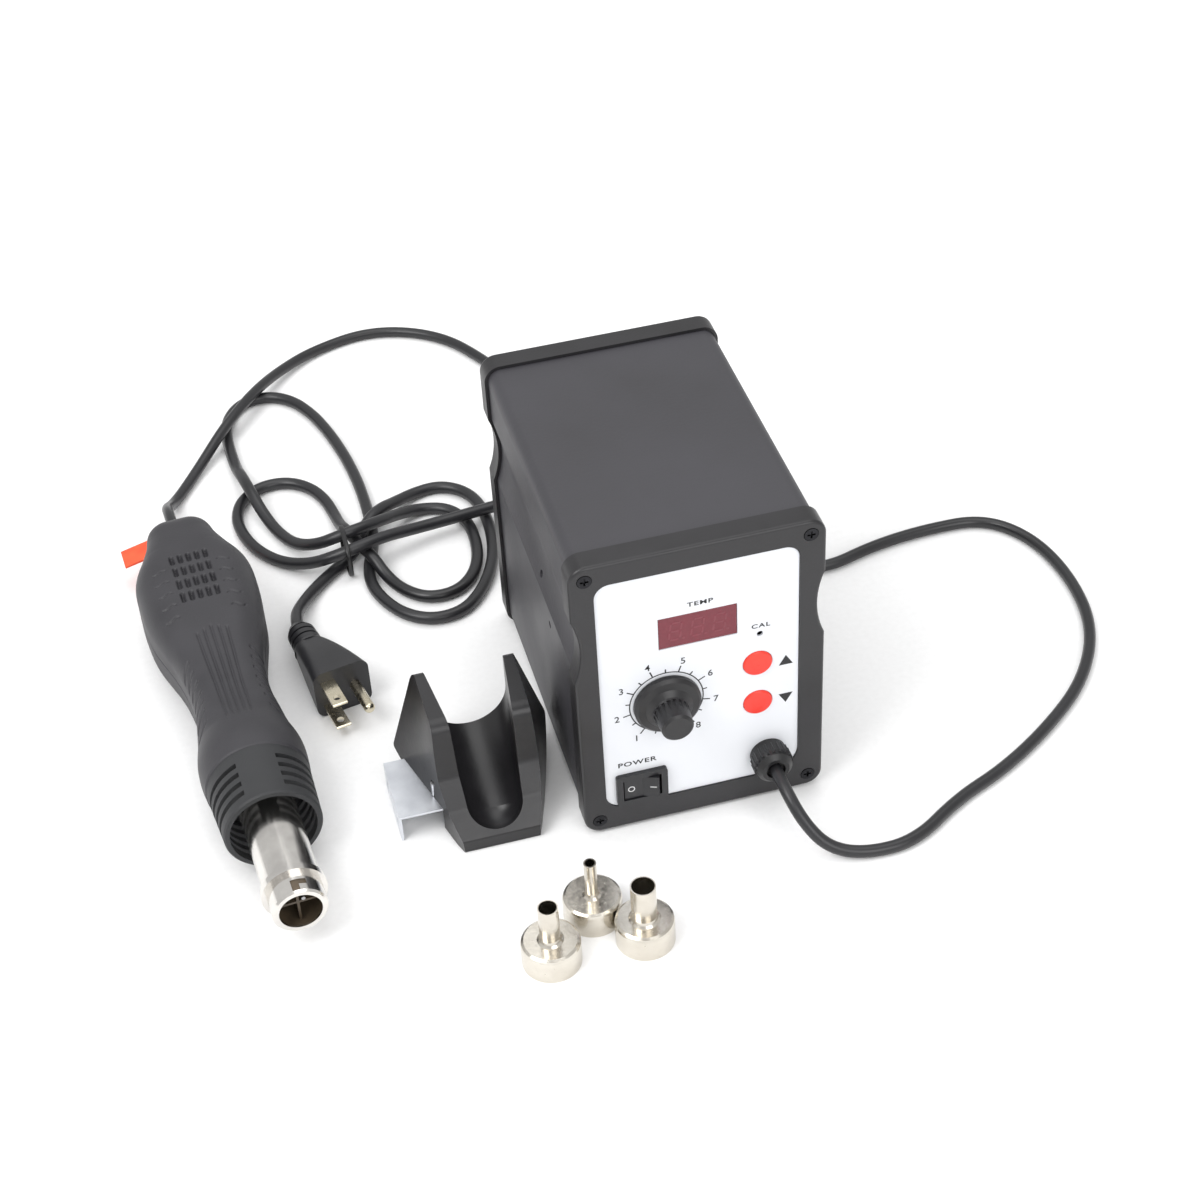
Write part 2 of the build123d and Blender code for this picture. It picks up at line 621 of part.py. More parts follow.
def transformer_coil():
    """Wound bobbin round the core's centre limb."""
    low, high = BOARD_TOP + 6 + SEAT, BOARD_TOP + CORE[2] - 6 - SEAT
    reach = CORE[0] * 0.29 + 4 - SEAT
    solid = block(-reach, reach, CORE_Y - 17, CORE_Y + 17, low, high)
    limb = CORE[0] * 0.29 - 4 + SEAT
    return solid - block(-limb, limb, CORE_Y - 10 - SEAT, CORE_Y + 10 + SEAT, low - 1, high + 1)


def heatsink():
    solid = block(-34, -14, -30, -27, BOARD_TOP, BOARD_TOP + 26)
    for fin in range(5):
        x = -33.2 + fin * 4.4
        solid += block(x - 0.7, x + 0.7, -27, -19, BOARD_TOP, BOARD_TOP + 26)
    return solid


def power_parts():
    """Triac bolted flat to its heatsink, the glass fuse and two filter capacitors."""
    triac = block(-29, -19, -34.5, -30, BOARD_TOP + 6, BOARD_TOP + 21)
    for leg in (-2.5, 0, 2.5):
        triac += block(-24 + leg - 0.4, -24 + leg + 0.4, -32.8, -32, BOARD_TOP, BOARD_TOP + 6)
    fuse = Pos(20, -28, BOARD_TOP + 4) * Rot(0, 90, 0) * Cylinder(2.6, 20)
    for side in (-1, 1):
        x = 20 + side * 7.5
        fuse += block(x - 1.6, x + 1.6, -31.5, -24.5, BOARD_TOP, BOARD_TOP + 4)
    caps = [post(x, -8, 13, BOARD_TOP, BOARD_TOP + 24) for x in (8, 24)]
    return [triac, fuse, *caps]


# ---- gun ----------------------------------------------------------------------------------
GUN_PLACE = Pos(GUN_X, GUN_Y, GUN_AXIS_Z) * Rot(0, 0, GUN_TURN)


def arch(width, height, corner, below):
    """Half section: upright sides, two round shoulders and a flat foot."""
    mid = corner * (1 - math.sqrt(0.5))
    right = ThreePointArc((width, height - corner), (width - mid, height - mid), (width - corner, height))
    left = ThreePointArc((corner - width, height), (mid - width, height - mid), (-width, height - corner))
    foot = Polyline(left @ 1, (-width, -below), (width, -below), right @ 0)
    return make_face(Curve() + [right, Line(right @ 1, left @ 0), left, foot])


def half_handle(inset, last, below=0.0):
    """Upper half of the handle's smooth body, from rounded sections along the gun's axis."""
    faces = []
    for y, half_w, half_h in HANDLE_SECTIONS:
        if y <= last:
            width, height = half_w - inset, half_h - inset
            corner = (0.95 if y < 100 else 0.62) * min(width, height)
            plane = Plane(origin=(0, y, 0), x_dir=(-1, 0, 0), z_dir=(0, 1, 0))
            faces.append(plane * arch(width, height, corner, below))
    return loft(faces)


def half_shell(side):
    """One hollow half of the handle. side is 1 for the top and -1 for the bottom."""
    shell = half_handle(0, TAIL_END) - half_handle(SHELL_WALL, TAIL_END - 4, 1.0)
    return shell if side > 0 else mirror(shell, about=Plane.XY)


SCREW_POSTS = [(sx * x, y) for sx in (-1, 1) for x, y in ((10.5, 101.0), (9.0, TAIL_POST_Y))]


def grille_slots():
    """Air intake: four rows of five slots over the blower."""
    return [(column * 3.7, 174.5 + row * 8.6) for row in range(4) for column in range(-2, 3)]


def handle_shells():
    """Top and bottom half of the handle, meeting on the gun's axis plane."""
    boot = rod(0, -BOOT_DROP, BOOT_D + 2 * SEAT, TAIL_END - 10, TAIL_END + 10)
    top, bottom = half_shell(1), half_shell(-1)
    for x, y in SCREW_POSTS:
        top += post(x, y, 5.5, 0, SHELL_POST) - post(x, y, 2.0 + 2 * RUNNING, -1, 8)
        bottom += post(x, y, 5.5, -SHELL_POST, 0)
        bottom -= post(x, y, 2.0 + 2 * RUNNING, -12, 1) + post(x, y, 4.4, -30, -11)
    for x in (-12, 12):
        for y in (HEAD_Y - 13, HEAD_Y + 11):
            bottom += post(x, y, 4, -20.3, -FAN_HALF_H)
    for y in (112, 138):
        bottom += post(0, y, 4, -16.0, -9)
    slots = [Pos(x, y, 0) * SlotOverall(6.4, 1.9, rotation=90) for x, y in grille_slots()]
    top -= [extrude(Pos(0, 0, 14) * slot, amount=14) for slot in slots]
    bottom -= [extrude(Pos(0, 0, -28) * slot, amount=14) for slot in slots]
    return top - boot, bottom - boot


def handle_screws():
    return [post(x, y, 2.0, -13, 7) + post(x, y, 4.0, -13, -11) for x, y in SCREW_POSTS]


def nozzle_seat():
    """Steel end ring with an inturned lip, a stop flange and a bayonet notch."""
    inner = SEAT_D / 2 - SEAT_WALL
    stop = SEAT_LENGTH
    outline = [(MOUTH_D / 2, 0), (SEAT_D / 2 - 0.8, 0), (SEAT_D / 2, 0.8), (SEAT_D / 2, stop), (FLANGE_D / 2, stop),
               (FLANGE_D / 2, stop + FLANGE_T), (inner, stop + FLANGE_T), (inner, 0.9), (MOUTH_D / 2, 0.9)]
    ring = spin_y(outline)
    notch = block(-1.5, 1.5, 0.9, 6.5, 5, 14) + block(-1.5, 4.5, 3.9, 6.5, 5, 14)
    return ring - notch


def heater_tube():
    start = SEAT_LENGTH + FLANGE_T
    return rod(0, 0, TUBE_D, start, TUBE_END) - rod(0, 0, TUBE_D - 2 * TUBE_WALL, start, TUBE_END)


def mica_sleeve():
    start, end = 1.2, TUBE_END - 1
    return rod(0, 0, MICA_D, start, end) - rod(0, 0, MICA_D - 2 * MICA_WALL, start, end)


def coil_stations():
    return [13.0 + turn * 6.0 for turn in range(COIL_TURNS)]


def coil_ring(y, wire):
    plane = Pos(0, y, 0) * Rot(90, 0, 0)
    return plane * Torus(COIL_R, wire)


def heater_former():
    """Two crossed mica plates, notched where the heating wire crosses them."""
    half, thick = FORMER_W / 2, FORMER_T / 2
    solid = block(-half, half, 5, 74, -thick, thick) + block(-thick, thick, 5, 74, -half, half)
    for y in coil_stations():
        solid -= coil_ring(y, COIL_WIRE + 0.1)
    return solid


def heater_coil():
    return [coil_ring(y, COIL_WIRE) for y in coil_stations()]


def thermocouple():
    return rod(2.2, 2.2, 1.6, 4, 80)


def front_cage():
    """Slotted guard round the hot tube, with a spider that holds the tube."""
    inner0, inner1 = CAGE_R0 - CAGE_WALL, CAGE_R1 - CAGE_WALL
    outline = [(inner0, CAGE_START), (CAGE_R0 - 0.6, CAGE_START), (CAGE_R0, CAGE_START + 0.8),
               (CAGE_R1, CAGE_END), (TUBE_D / 2 + RUNNING, CAGE_END), (TUBE_D / 2 + RUNNING, CAGE_END - 2.5),
               (inner1, CAGE_END - 2.5)]
    solid = spin_y(outline)
    for y in CAGE_SLOTS:
        ring = rod(0, 0, 60, y - CAGE_SLOT_W / 2, y + CAGE_SLOT_W / 2)
        ring -= rod(0, 0, 2 * inner0 - 3, y - CAGE_SLOT_W, y + CAGE_SLOT_W)
        ring -= block(-CAGE_BAND, CAGE_BAND, y - 5, y + 5, -40, 40)
        solid -= ring
    for hole in range(12):
        turn = math.radians(hole * 30)
        solid -= rod(15.4 * math.cos(turn), 15.4 * math.sin(turn), 4.5, CAGE_END - 3, CAGE_END)
    return solid


def fan_housing():
    """Round blower case on the handle's posts, intake on top and outlet towards the heater."""
    radius, half = FAN_D / 2, FAN_HALF_H
    solid = post(0, HEAD_Y, FAN_D, -half, half)
    solid += block(-9, 9, HEAD_Y - radius - 6, HEAD_Y, -half, 6)
    solid -= post(0, HEAD_Y, FAN_D - 2 * FAN_WALL, -half + FAN_WALL, half - FAN_WALL)
    solid -= block(-9 + FAN_WALL, 9 - FAN_WALL, HEAD_Y - radius - 7, HEAD_Y, -half + FAN_WALL, 6 - FAN_WALL)
    return solid - post(0, HEAD_Y, 24, 0, half + 1)


MOTOR_TOP = -2.0


def fan_motor():
    floor = -FAN_HALF_H + FAN_WALL
    return post(0, HEAD_Y, MOTOR_D, floor, MOTOR_TOP) - post(0, HEAD_Y, SHAFT_FAN + 2 * RUNNING, floor + 2, 0)


def impeller():
    """Bladed wheel and its shaft."""
    base = MOTOR_TOP + 0.4
    solid = post(0, HEAD_Y, IMPELLER_D, base, base + 1.2) + post(0, HEAD_Y, 12, base, base + 8)
    solid += post(0, HEAD_Y, SHAFT_FAN, -FAN_HALF_H + FAN_WALL + 3, base + 1)
    for blade in range(IMPELLER_BLADES):
        plate = Rot(0, 0, 25) * Pos(5.5, 0, 0) * Box(10, 0.9, 9)
        swung = Rot(0, 0, blade * 360 / IMPELLER_BLADES) * Pos(5.2, 0, 0) * plate
        solid += Pos(0, HEAD_Y, base + 4.9) * swung
    return solid & post(0, HEAD_Y, IMPELLER_D, -20, 20)


def handle_board():
    """Small board on two posts in the neck, with the standby reed switch on it."""
    board = block(-7, 7, 106, 144, -9, -7.8)
    reed = Pos(0, 125, -6.6) * Rot(90, 0, 0) * Cylinder(1.2, 16)
    return [board, reed]


def tail_boot():
    """Short rubber boot where the cord leaves the handle."""
    z, start = -BOOT_DROP, CAVITY_END - BOOT_FLANGE_T - SLIP
    end = TAIL_END + BOOT_LENGTH
    outline = [(0, start), (BOOT_D / 2 + 1.5, start), (BOOT_D / 2 + 1.5, start + BOOT_FLANGE_T),
               (BOOT_D / 2, start + BOOT_FLANGE_T), (BOOT_D / 2, TAIL_END + 0.5), (BOOT_TIP_D / 2, end), (0, end)]
    return spin_y(outline, 0, z)


def cord_tag():
    """Flag label wrapped round the boot."""
    z = -BOOT_DROP
    start = TAIL_END + 2.5
    end = start + TAG_LENGTH
    inner = BOOT_D / 2 + SEAT
    ring = rod(0, z, 2 * (inner + TAG_T), start, end) - rod(0, z, 2 * inner, start, end)
    flag = Pos(-inner - TAG_T, 0, z) * Rot(0, -12, 0) * block(-TAG_FLAG, 0.4, start, end, -TAG_T, TAG_T)
    return ring + (flag - rod(0, z, 2 * inner, start - 1, end + 1))


# ---- nozzles ------------------------------------------------------------------------------
def nozzle(outlet, x, y):
    """Deep-drawn cap with a rolled shoulder, a collar and a straight outlet tube."""
    cap, bore = CAP_D / 2, SEAT_D / 2 + NOZZLE_FIT
    tube, hole = outlet / 2, outlet / 2 - NOZZLE_WALL
    top = CAP_H
    outline = [(bore, 0), (cap, 0), (cap, top - 1.6), (cap - 0.35, top - 0.7), (cap - 1.3, top),
               (tube + 1.2, top), (tube + 0.4, top + 0.9), (tube, top + 2), (tube, top + NOZZLE_TUBE_H),
               (hole, top + NOZZLE_TUBE_H), (hole, top - CAP_WALL - 0.1), (bore - 1.2, top - CAP_WALL - 0.1),
               (bore, top - 1.7)]
    return Pos(x, y, 0) * spin_z(outline)


# ---- gun holder ---------------------------------------------------------------------------
def holder_section(half_w, y):
    low, high = half_w
    grow = (low - high) / CRADLE_TOP
    points = [(-low, 0), (low, 0), (high - 8 * grow, CRADLE_TOP + 8), (-high + 8 * grow, CRADLE_TOP + 8)]
    return Plane.XZ.offset(-y) * make_face(Polyline(*points, close=True))


def trough_section(radius, floor, y):
    tall = 90.0
    shape = Pos(0, floor + radius) * Circle(radius) + Pos(0, floor + radius + tall / 2) * Rectangle(2 * radius, tall)
    return Plane.XZ.offset(-y) * shape


def cradle():
    """Scoop-shaped saddle: flared sides, S-shaped rims and a rounded bowl at the front."""
    body = loft([holder_section(BACK_HALF_W, CRADLE_BACK), holder_section(FRONT_HALF_W, CRADLE_FRONT)], ruled=True)
    rim = [(CRADLE_BACK, CRADLE_HEEL), (CRADLE_BACK, CRADLE_TOP), (-44, CRADLE_TOP - 2), (-50, 27),
           (-58, 15), (CRADLE_FRONT, 6), (CRADLE_FRONT, 0), (-62, 0)]
    profile = make_face(FilletPolyline(*rim, radius=[2, 5, 6, 8, 8, 1.5, 0.8, 2], close=True))
    body &= extrude(Plane.YZ.offset(-60) * profile, amount=120)
    back_cut = trough_section(TROUGH_R_BACK, TROUGH_FLOOR_BACK, CRADLE_BACK + 1)
    front_cut = trough_section(TROUGH_R_FRONT, TROUGH_FLOOR_FRONT, TROUGH_END_Y)
    body -= loft([back_cut, front_cut], ruled=True)
    bowl_z = TROUGH_FLOOR_FRONT + TROUGH_R_FRONT
    body -= Pos(0, TROUGH_END_Y, bowl_z) * Sphere(TROUGH_R_FRONT)
    body -= post(0, TROUGH_END_Y, 2 * TROUGH_R_FRONT, bowl_z, 90)
    body = Pos(CRADLE_X, 0, 0) * body
    pocket = block(BRACKET_X0 - 5, BRACKET_X1 + SEAT, BRACKET_Y0 - SEAT, BRACKET_Y1 + SEAT, -5, BRACKET_TOP)
    body -= pocket
    for y in BRACKET_SCREW_YS:
        body -= post(BRACKET_SCREW_X, y, 2.4 + 2 * RUNNING, BRACKET_TOP - 1, BRACKET_TOP + 8)
    magnet_x = CRADLE_X + 24.0
    return body - post(magnet_x, CRADLE_BACK - 9, 8 + 2 * SEAT, -1, 17)


def cradle_magnet():
    """Disc magnet that tells the gun it is parked."""
    return post(CRADLE_X + 24.0, CRADLE_BACK - 9, 8, 13.5, 16.9)


def cradle_bracket():
    """Bent sheet bracket: plate under the saddle, flange with two screw holes."""
    solid = block(BRACKET_X0, BRACKET_X1, BRACKET_Y0, BRACKET_Y1, BRACKET_TOP - BRACKET_T, BRACKET_TOP)
    solid += block(BRACKET_X0, BRACKET_X0 + BRACKET_T, BRACKET_Y0, BRACKET_Y1, 0.2, BRACKET_TOP)
    for y in BRACKET_SCREW_YS:
        solid -= post(BRACKET_SCREW_X, y, 2.4 + 2 * SLIP, 0, 20)
    middle = (BRACKET_Y0 + BRACKET_Y1) / 2
    for side in (-1, 1):
        y = middle + side * BRACKET_HOLE_GAP / 2
        solid -= Pos(BRACKET_X0, y, 6) * Rot(0, 90, 0) * Cylinder(BRACKET_HOLE_D / 2, 6)
    return solid


def bracket_screws():
    under = BRACKET_TOP - BRACKET_T
    return [post(BRACKET_SCREW_X, y, 2.4, under, under + 8) + post(BRACKET_SCREW_X, y, 5, under - 1.6, under)
            for y in BRACKET_SCREW_YS]


# ---- cords --------------------------------------------------------------------------------
CORD_START_Y = PANEL_FACE - GLAND_CAP_L + 2.0
RELIEF_END_Y = REAR + RELIEF_L


def corner_radii(points):
    """Largest tangent arc at each corner: 0.45 of the shorter run over tan(half turn)."""
    radii = []
    for before, corner, after in zip(points, points[1:], points[2:]):
        run_in, run_out = Vector(*corner) - Vector(*before), Vector(*after) - Vector(*corner)
        half_turn = math.radians(run_in.get_angle(run_out)) / 2
        radii.append(0.45 * min(run_in.length, run_out.length) / math.tan(half_turn))
    return radii


def cord_tube(name, points, diameter):
    """Tube of straight runs joined by tangent arcs; prints its length, radii and volume."""
    radii = corner_radii(points)
    path = FilletPolyline(*points, radius=radii)
    start = Plane(origin=path @ 0, z_dir=path % 0)
    tube = sweep(start * Circle(diameter / 2), path=path)
    runs = [(Vector(*b) - Vector(*a)).length for a, b in zip(points, points[1:])]
    ideal = math.pi * diameter ** 2 / 4 * path.length
    print(f"{name}: length {path.length:.1f}, radii {min(radii):.1f} to {max(radii):.1f}, "
          f"runs {min(runs):.1f} to {max(runs):.1f}, volume ratio {tube.volume / ideal:.5f}")
    print("   radii in order:", " ".join(f"{radius:.0f}" for radius in radii))
    return tube


def beyond(start, end, distance):
    """The point that far past end, on the line from start."""
    spot = Vector(*end) + (Vector(*end) - Vector(*start)).normalized() * distance
    return (spot.X, spot.Y, spot.Z)


def gun_point(y, z=0.0):
    """A point on or under the gun's axis, in the station's frame."""
    spot = (GUN_PLACE * Pos(0, y, z)).position
    return (spot.X, spot.Y, spot.Z)


BOOT_END = gun_point(TAIL_END + BOOT_LENGTH, -BOOT_DROP)
HANDLE_ROUTE = [
    (GLAND_X, CORD_START_Y, GLAND_Z), (GLAND_X, -94.0, GLAND_Z), (31.0, -105.5, 14.5), (39.0, -113.0, 5.2),
    (53.0, -118.0, CORD_Z), (74.0, -117.5, CORD_Z), (98.0, -101.0, CORD_Z), (123.0, -90.5, CORD_Z),
    (150.0, -73.0, CORD_Z), (175.0, -51.5, CORD_Z), (193.0, -22.0, CORD_Z), (198.0, 12.0, CORD_Z),
    (193.0, 44.0, CORD_Z), (177.0, 64.0, CORD_Z), (149.0, 65.0, CORD_Z), (122.0, 61.5, CORD_Z),
    (95.0, 52.5, CORD_Z), (71.0, 63.0, CORD_Z), (58.0, 92.0, CORD_Z), (49.0, 126.0, CORD_Z),
    (34.0, 160.0, CORD_Z), (16.0, 194.0, CORD_Z), (0.0, 228.0, CORD_Z), (-12.0, 263.0, CORD_Z),
    (-31.0, 297.0, CORD_Z), (-64.0, 313.0, CORD_Z), (-97.0, 304.5, CORD_Z), (-118.5, 286.5, 4.5),
    (-134.5, 264.0, 13.5), (-151.5, 241.0, 13.5), (-166.0, 223.0, 4.5), (-178.0, 204.5, CORD_Z),
    (-184.5, 193.0, 4.5), (-186.8, 181.5, 12.5), gun_point(TAIL_END + BOOT_LENGTH + 11, -BOOT_DROP), BOOT_END]

MAINS_ROUTE = [
    (MAINS_X, RELIEF_END_Y, MAINS_Z), (MAINS_X, RELIEF_END_Y + 12, MAINS_Z), (-10.5, 125.5, 15.0),
    (-21.0, 137.0, 9.2), (-38.0, 138.0, 8.9)]
HANK_ENTRY = MAINS_ROUTE[-1]
HANK_WAIST = (-111.0, 127.0)
HANK_WAIST_W = 24.0
HANK_WAIST_H = 17.5
TIE_W = 2.4
TIE_T = 0.8
TIE_GAP = 0.2
HANK_LEAVES = (-108.0, 130.6, LEAD_Z)
PLUG_EXIT = (-124.0, 117.0, LEAD_Z)


# ---- plug, in its own frame: cord end at the origin, +Y towards the blades --------------------
PLUG_PLACE = Pos(PLUG_TAIL[0], PLUG_TAIL[1], PLUG_AXIS_Z) * Rot(0, 0, 180 + PLUG_TURN)


def plug_body():
    """Moulded grip, round neck and ribbed tail; the blade side is flat."""
    y_neck, y_face = PLUG_NECK_L, PLUG_NECK_L + PLUG_BODY_L
    tail = spin_y([(0, 0), (4.2, 0), (6.3, 4), (6.8, y_neck - 2), (7.5, y_neck), (0, y_neck)])
    for groove in (3.6, 7.2, 10.8):
        tail -= rod(0, 0, 30, groove - 0.5, groove + 0.5) - rod(0, 0, 9.4, groove - 1, groove + 1)
    near = Plane.XZ.offset(-y_neck) * RectangleRounded(14, 14, 5)
    shoulder = Plane.XZ.offset(-(y_neck + 12)) * (Pos(-1.2, 0) * RectangleRounded(18, 21, 4.5))
    face = Plane.XZ.offset(-y_face) * (Pos(-3.2, 0) * RectangleRounded(25, 24, 4.5))
    return tail + loft([near, shoulder, face])


def plug_pins():
    """Two flat blades one above the other, and the round earth pin beside them."""
    face = PLUG_NECK_L + PLUG_BODY_L
    pins = []
    for side in (-1, 1):
        z = side * BLADE_GAP / 2
        blade = block(-BLADE_W / 2, BLADE_W / 2, face, face + BLADE_L, z - BLADE_T / 2, z + BLADE_T / 2)
        blade = chamfer(blade.faces().sort_by(Axis.Y)[-1].edges().filter_by(Axis.X), 0.4)
        pins.append(Pos(3.2, 0, 0) * (blade - post(0, face + BLADE_L - 4.2, 3.2, z - 2, z + 2)))
    earth = rod(3.2 - EARTH_OFFSET, 0, EARTH_D, face, face + EARTH_L)
    pins.append(fillet(earth.edges().sort_by(Axis.Y)[-1], 1.8))
    return pins


PLUG_ENTRY = (PLUG_TAIL[0], PLUG_TAIL[1], PLUG_AXIS_Z)
PLUG_BACK = (PLUG_PLACE * Pos(0, -11, 0)).position
PLUG_ROUTE = [
    PLUG_EXIT, beyond(HANK_LEAVES, PLUG_EXIT, 10.0), (-139.5, 99.0, 6.5), (PLUG_BACK.X, PLUG_BACK.Y, PLUG_BACK.Z),
    PLUG_ENTRY]


def lobe(points, width, z0, z1):
    """Flat closed band: one loop of the tied lead."""
    face = make_face(Polyline(*points, close=True))
    face = fillet(face.vertices(), 6.0)
    return extrude(Pos(0, 0, z0) * (offset(face, width / 2) - offset(face, -width / 2)), amount=z1 - z0)


def strand(start, end, diameter):
    """Straight piece of cord between two points."""
    line = Line(start, end)
    return sweep(Plane(origin=line @ 0, z_dir=line % 0) * Circle(diameter / 2), path=line)


def mains_hank():
    """Outer shape of the lead's tied loops: two lobes to the left, two to the right, one waist."""
    left_long = [(-104, 124), (-97, 160), (-96, 190), (-104, 235), (-114, 262), (-130, 271), (-144, 262),
                 (-151, 235), (-149, 200), (-140, 166), (-122, 145)]
    left_short = [(-103, 130), (-108, 158), (-117, 178), (-134, 198), (-148, 192), (-155, 172), (-151, 148),
                  (-138, 134), (-120, 127)]
    right_outer = [(-111, 133), (-106, 112), (-98, 92), (-84, 79), (-70, 81), (-53, 101), (-43, 124),
                   (-41, 148), (-50, 164), (-66, 168), (-90, 158)]
    right_inner = [(-110, 138), (-101, 122), (-96, 103), (-84, 91), (-70, 93), (-55, 110), (-50, 130),
                   (-56, 150), (-70, 157), (-88, 153)]
    solid = lobe(left_long, MAINS_D, 0.1, MAINS_D)
    solid += lobe(left_short, MAINS_D, 0.1, MAINS_D)
    solid += lobe(right_outer, MAINS_D, 0.1, MAINS_D)
    solid += lobe(right_inner, MAINS_D, 0.1, MAINS_D)
    x, y = HANK_WAIST
    solid += extrude(Pos(x, y, 0.1) * RectangleRounded(HANK_WAIST_W, HANK_WAIST_W, 5), amount=HANK_WAIST_H)
    entry = beyond(MAINS_ROUTE[-2], HANK_ENTRY, 14.0)
    solid += cord_tube("hank entry", [HANK_ENTRY, entry, (-104.0, 122.0, 12.5)], MAINS_D)
    solid += strand(PLUG_EXIT, HANK_LEAVES, MAINS_D)
    return solid - tie_ring(SLIP)


def tie_ring(room=0.0):
    """Square ring of the tie; with room it is the groove that the tie lies in."""
    x, y = HANK_WAIST
    inner = HANK_WAIST_W / 2 + TIE_GAP
    outer, top = inner + TIE_T, HANK_WAIST_H + TIE_GAP
    inner, wide = inner - room, TIE_W / 2 + room
    ring = block(x - wide, x + wide, y - outer - room, y + outer + room, 0, top + TIE_T + room)
    return ring - block(x - wide - 1, x + wide + 1, y - inner, y + inner, TIE_T + room, top - room)


def cable_tie():
    """Thin tie round the waist of the tied loops, with its twisted tail."""
    x, y = HANK_WAIST
    outer = HANK_WAIST_W / 2 + TIE_GAP + TIE_T
    return tie_ring() + block(x - 1.0, x + 5.0, y - outer - 3.6, y - outer, 6, 8)


def mains_strain_relief():
    """Tapered, ribbed bush that holds the lead in the rear cover."""
    radius, tip = RELIEF_D / 2, MAINS_D / 2 + 0.9
    outline = [(0, REAR - COVER_PLATE - 2), (radius + 1.2, REAR - COVER_PLATE - 2), (radius + 1.2, REAR - COVER_PLATE),
               (radius, REAR - COVER_PLATE), (radius, REAR), (radius + 1.8, REAR), (radius + 1.8, REAR + 3),
               (radius - 0.8, REAR + 3.5), (tip, RELIEF_END_Y), (0, RELIEF_END_Y)]
    solid = spin_y(outline, MAINS_X, MAINS_Z)
    for groove in range(5):
        y = REAR + 7 + groove * 4
        solid -= rod(MAINS_X, MAINS_Z, 20, y, y + 1.4) - rod(MAINS_X, MAINS_Z, MAINS_D + 1.6, y - 1, y + 3)
    return solid


# ---- build --------------------------------------------------------------------------------
os.makedirs("parts", exist_ok=True)

save("front_bezel", front_bezel())
save("front_panel", front_panel())
save("rear_cover", rear_cover())
save("sleeve_case", sleeve_case())
save("rubber_feet", *rubber_feet())
save("cover_screws", *cover_screws())
save("display_window", display_window())
save("display_module", display_module())
save("switch_housing", switch_housing())
save("switch_rocker", switch_rocker())
save("airflow_knob", airflow_knob())
save("knob_shaft", knob_shaft())
save("airflow_potentiometer", airflow_potentiometer())
save("potentiometer_nut", potentiometer_nut())
save("up_button", push_button(UP_Z))
save("down_button", push_button(DOWN_Z))
save("board_components", *board_components())
save("trimmer_rotor", trimmer_rotor())
save("control_board", control_board())
save("board_standoffs", *board_standoffs())
save("gland_body", gland_body())
save("gland_cap", gland_cap())
save("gland_seal", gland_seal())
save("gland_locknut", gland_locknut())
save("power_board", power_board())
save("transformer_core", transformer_core())
save("transformer_coil", transformer_coil())
save("heatsink", heatsink())
save("power_parts", *power_parts())

shell_top, shell_bottom = handle_shells()
save("handle_shell_top", GUN_PLACE * shell_top)
save("handle_shell_bottom", GUN_PLACE * shell_bottom)
save("handle_screws", *[GUN_PLACE * screw for screw in handle_screws()])
save("nozzle_seat", GUN_PLACE * nozzle_seat())
save("heater_tube", GUN_PLACE * heater_tube())
save("mica_sleeve", GUN_PLACE * mica_sleeve())
save("heater_former", GUN_PLACE * heater_former())
save("heater_coil", *[GUN_PLACE * ring for ring in heater_coil()])
save("thermocouple", GUN_PLACE * thermocouple())
save("front_cage", GUN_PLACE * front_cage())
save("fan_housing", GUN_PLACE * fan_housing())
save("fan_motor", GUN_PLACE * fan_motor())
save("impeller", GUN_PLACE * impeller())
save("handle_board", *[GUN_PLACE * piece for piece in handle_board()])
save("tail_boot", GUN_PLACE * tail_boot())
save("cord_tag", GUN_PLACE * cord_tag())

for name, (outlet, x, y) in NOZZLES.items():
    save(name, nozzle(outlet, x, y))

save("cradle", cradle())
save("cradle_magnet", cradle_magnet())
save("cradle_bracket", cradle_bracket())
save("bracket_screws", *bracket_screws())

save("handle_cord", cord_tube("handle_cord", HANDLE_ROUTE, CORD_D))
save("mains_strain_relief", mains_strain_relief())
save("mains_cord", cord_tube("mains_cord", MAINS_ROUTE, MAINS_D))
save("mains_hank", mains_hank())
save("cable_tie", cable_tie())
save("plug_lead", cord_tube("plug_lead", PLUG_ROUTE, MAINS_D))
save("plug_body", PLUG_PLACE * plug_body())
save("plug_pins", *[PLUG_PLACE * pin for pin in plug_pins()])
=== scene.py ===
import json
import math

import bpy
import numpy as np
from mathutils import Matrix, Vector


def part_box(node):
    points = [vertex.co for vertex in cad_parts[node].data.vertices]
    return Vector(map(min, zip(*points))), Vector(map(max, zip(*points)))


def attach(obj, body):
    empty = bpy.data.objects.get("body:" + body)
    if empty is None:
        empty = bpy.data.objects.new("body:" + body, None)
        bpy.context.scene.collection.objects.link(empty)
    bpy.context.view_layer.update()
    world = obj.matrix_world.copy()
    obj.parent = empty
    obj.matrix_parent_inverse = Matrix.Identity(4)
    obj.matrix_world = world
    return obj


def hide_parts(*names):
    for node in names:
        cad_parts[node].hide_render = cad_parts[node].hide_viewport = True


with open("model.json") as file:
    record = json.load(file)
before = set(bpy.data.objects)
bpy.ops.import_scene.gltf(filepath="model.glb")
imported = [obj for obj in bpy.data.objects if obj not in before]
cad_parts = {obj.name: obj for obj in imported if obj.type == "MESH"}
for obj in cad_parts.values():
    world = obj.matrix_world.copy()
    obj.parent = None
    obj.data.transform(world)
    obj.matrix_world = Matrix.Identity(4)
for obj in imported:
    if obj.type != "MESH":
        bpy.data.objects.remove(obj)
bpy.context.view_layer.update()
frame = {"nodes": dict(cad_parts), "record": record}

NODES = frame["nodes"]
bezel_low, bezel_high = (np.array(corner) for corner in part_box("front_bezel"))
cover_high = np.array(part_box("rear_cover")[1])
# centre of the case's base: every place below is measured from it
CASE = np.array([(bezel_low[0] + bezel_high[0]) / 2, (bezel_low[1] + cover_high[1]) / 2, 0.0])


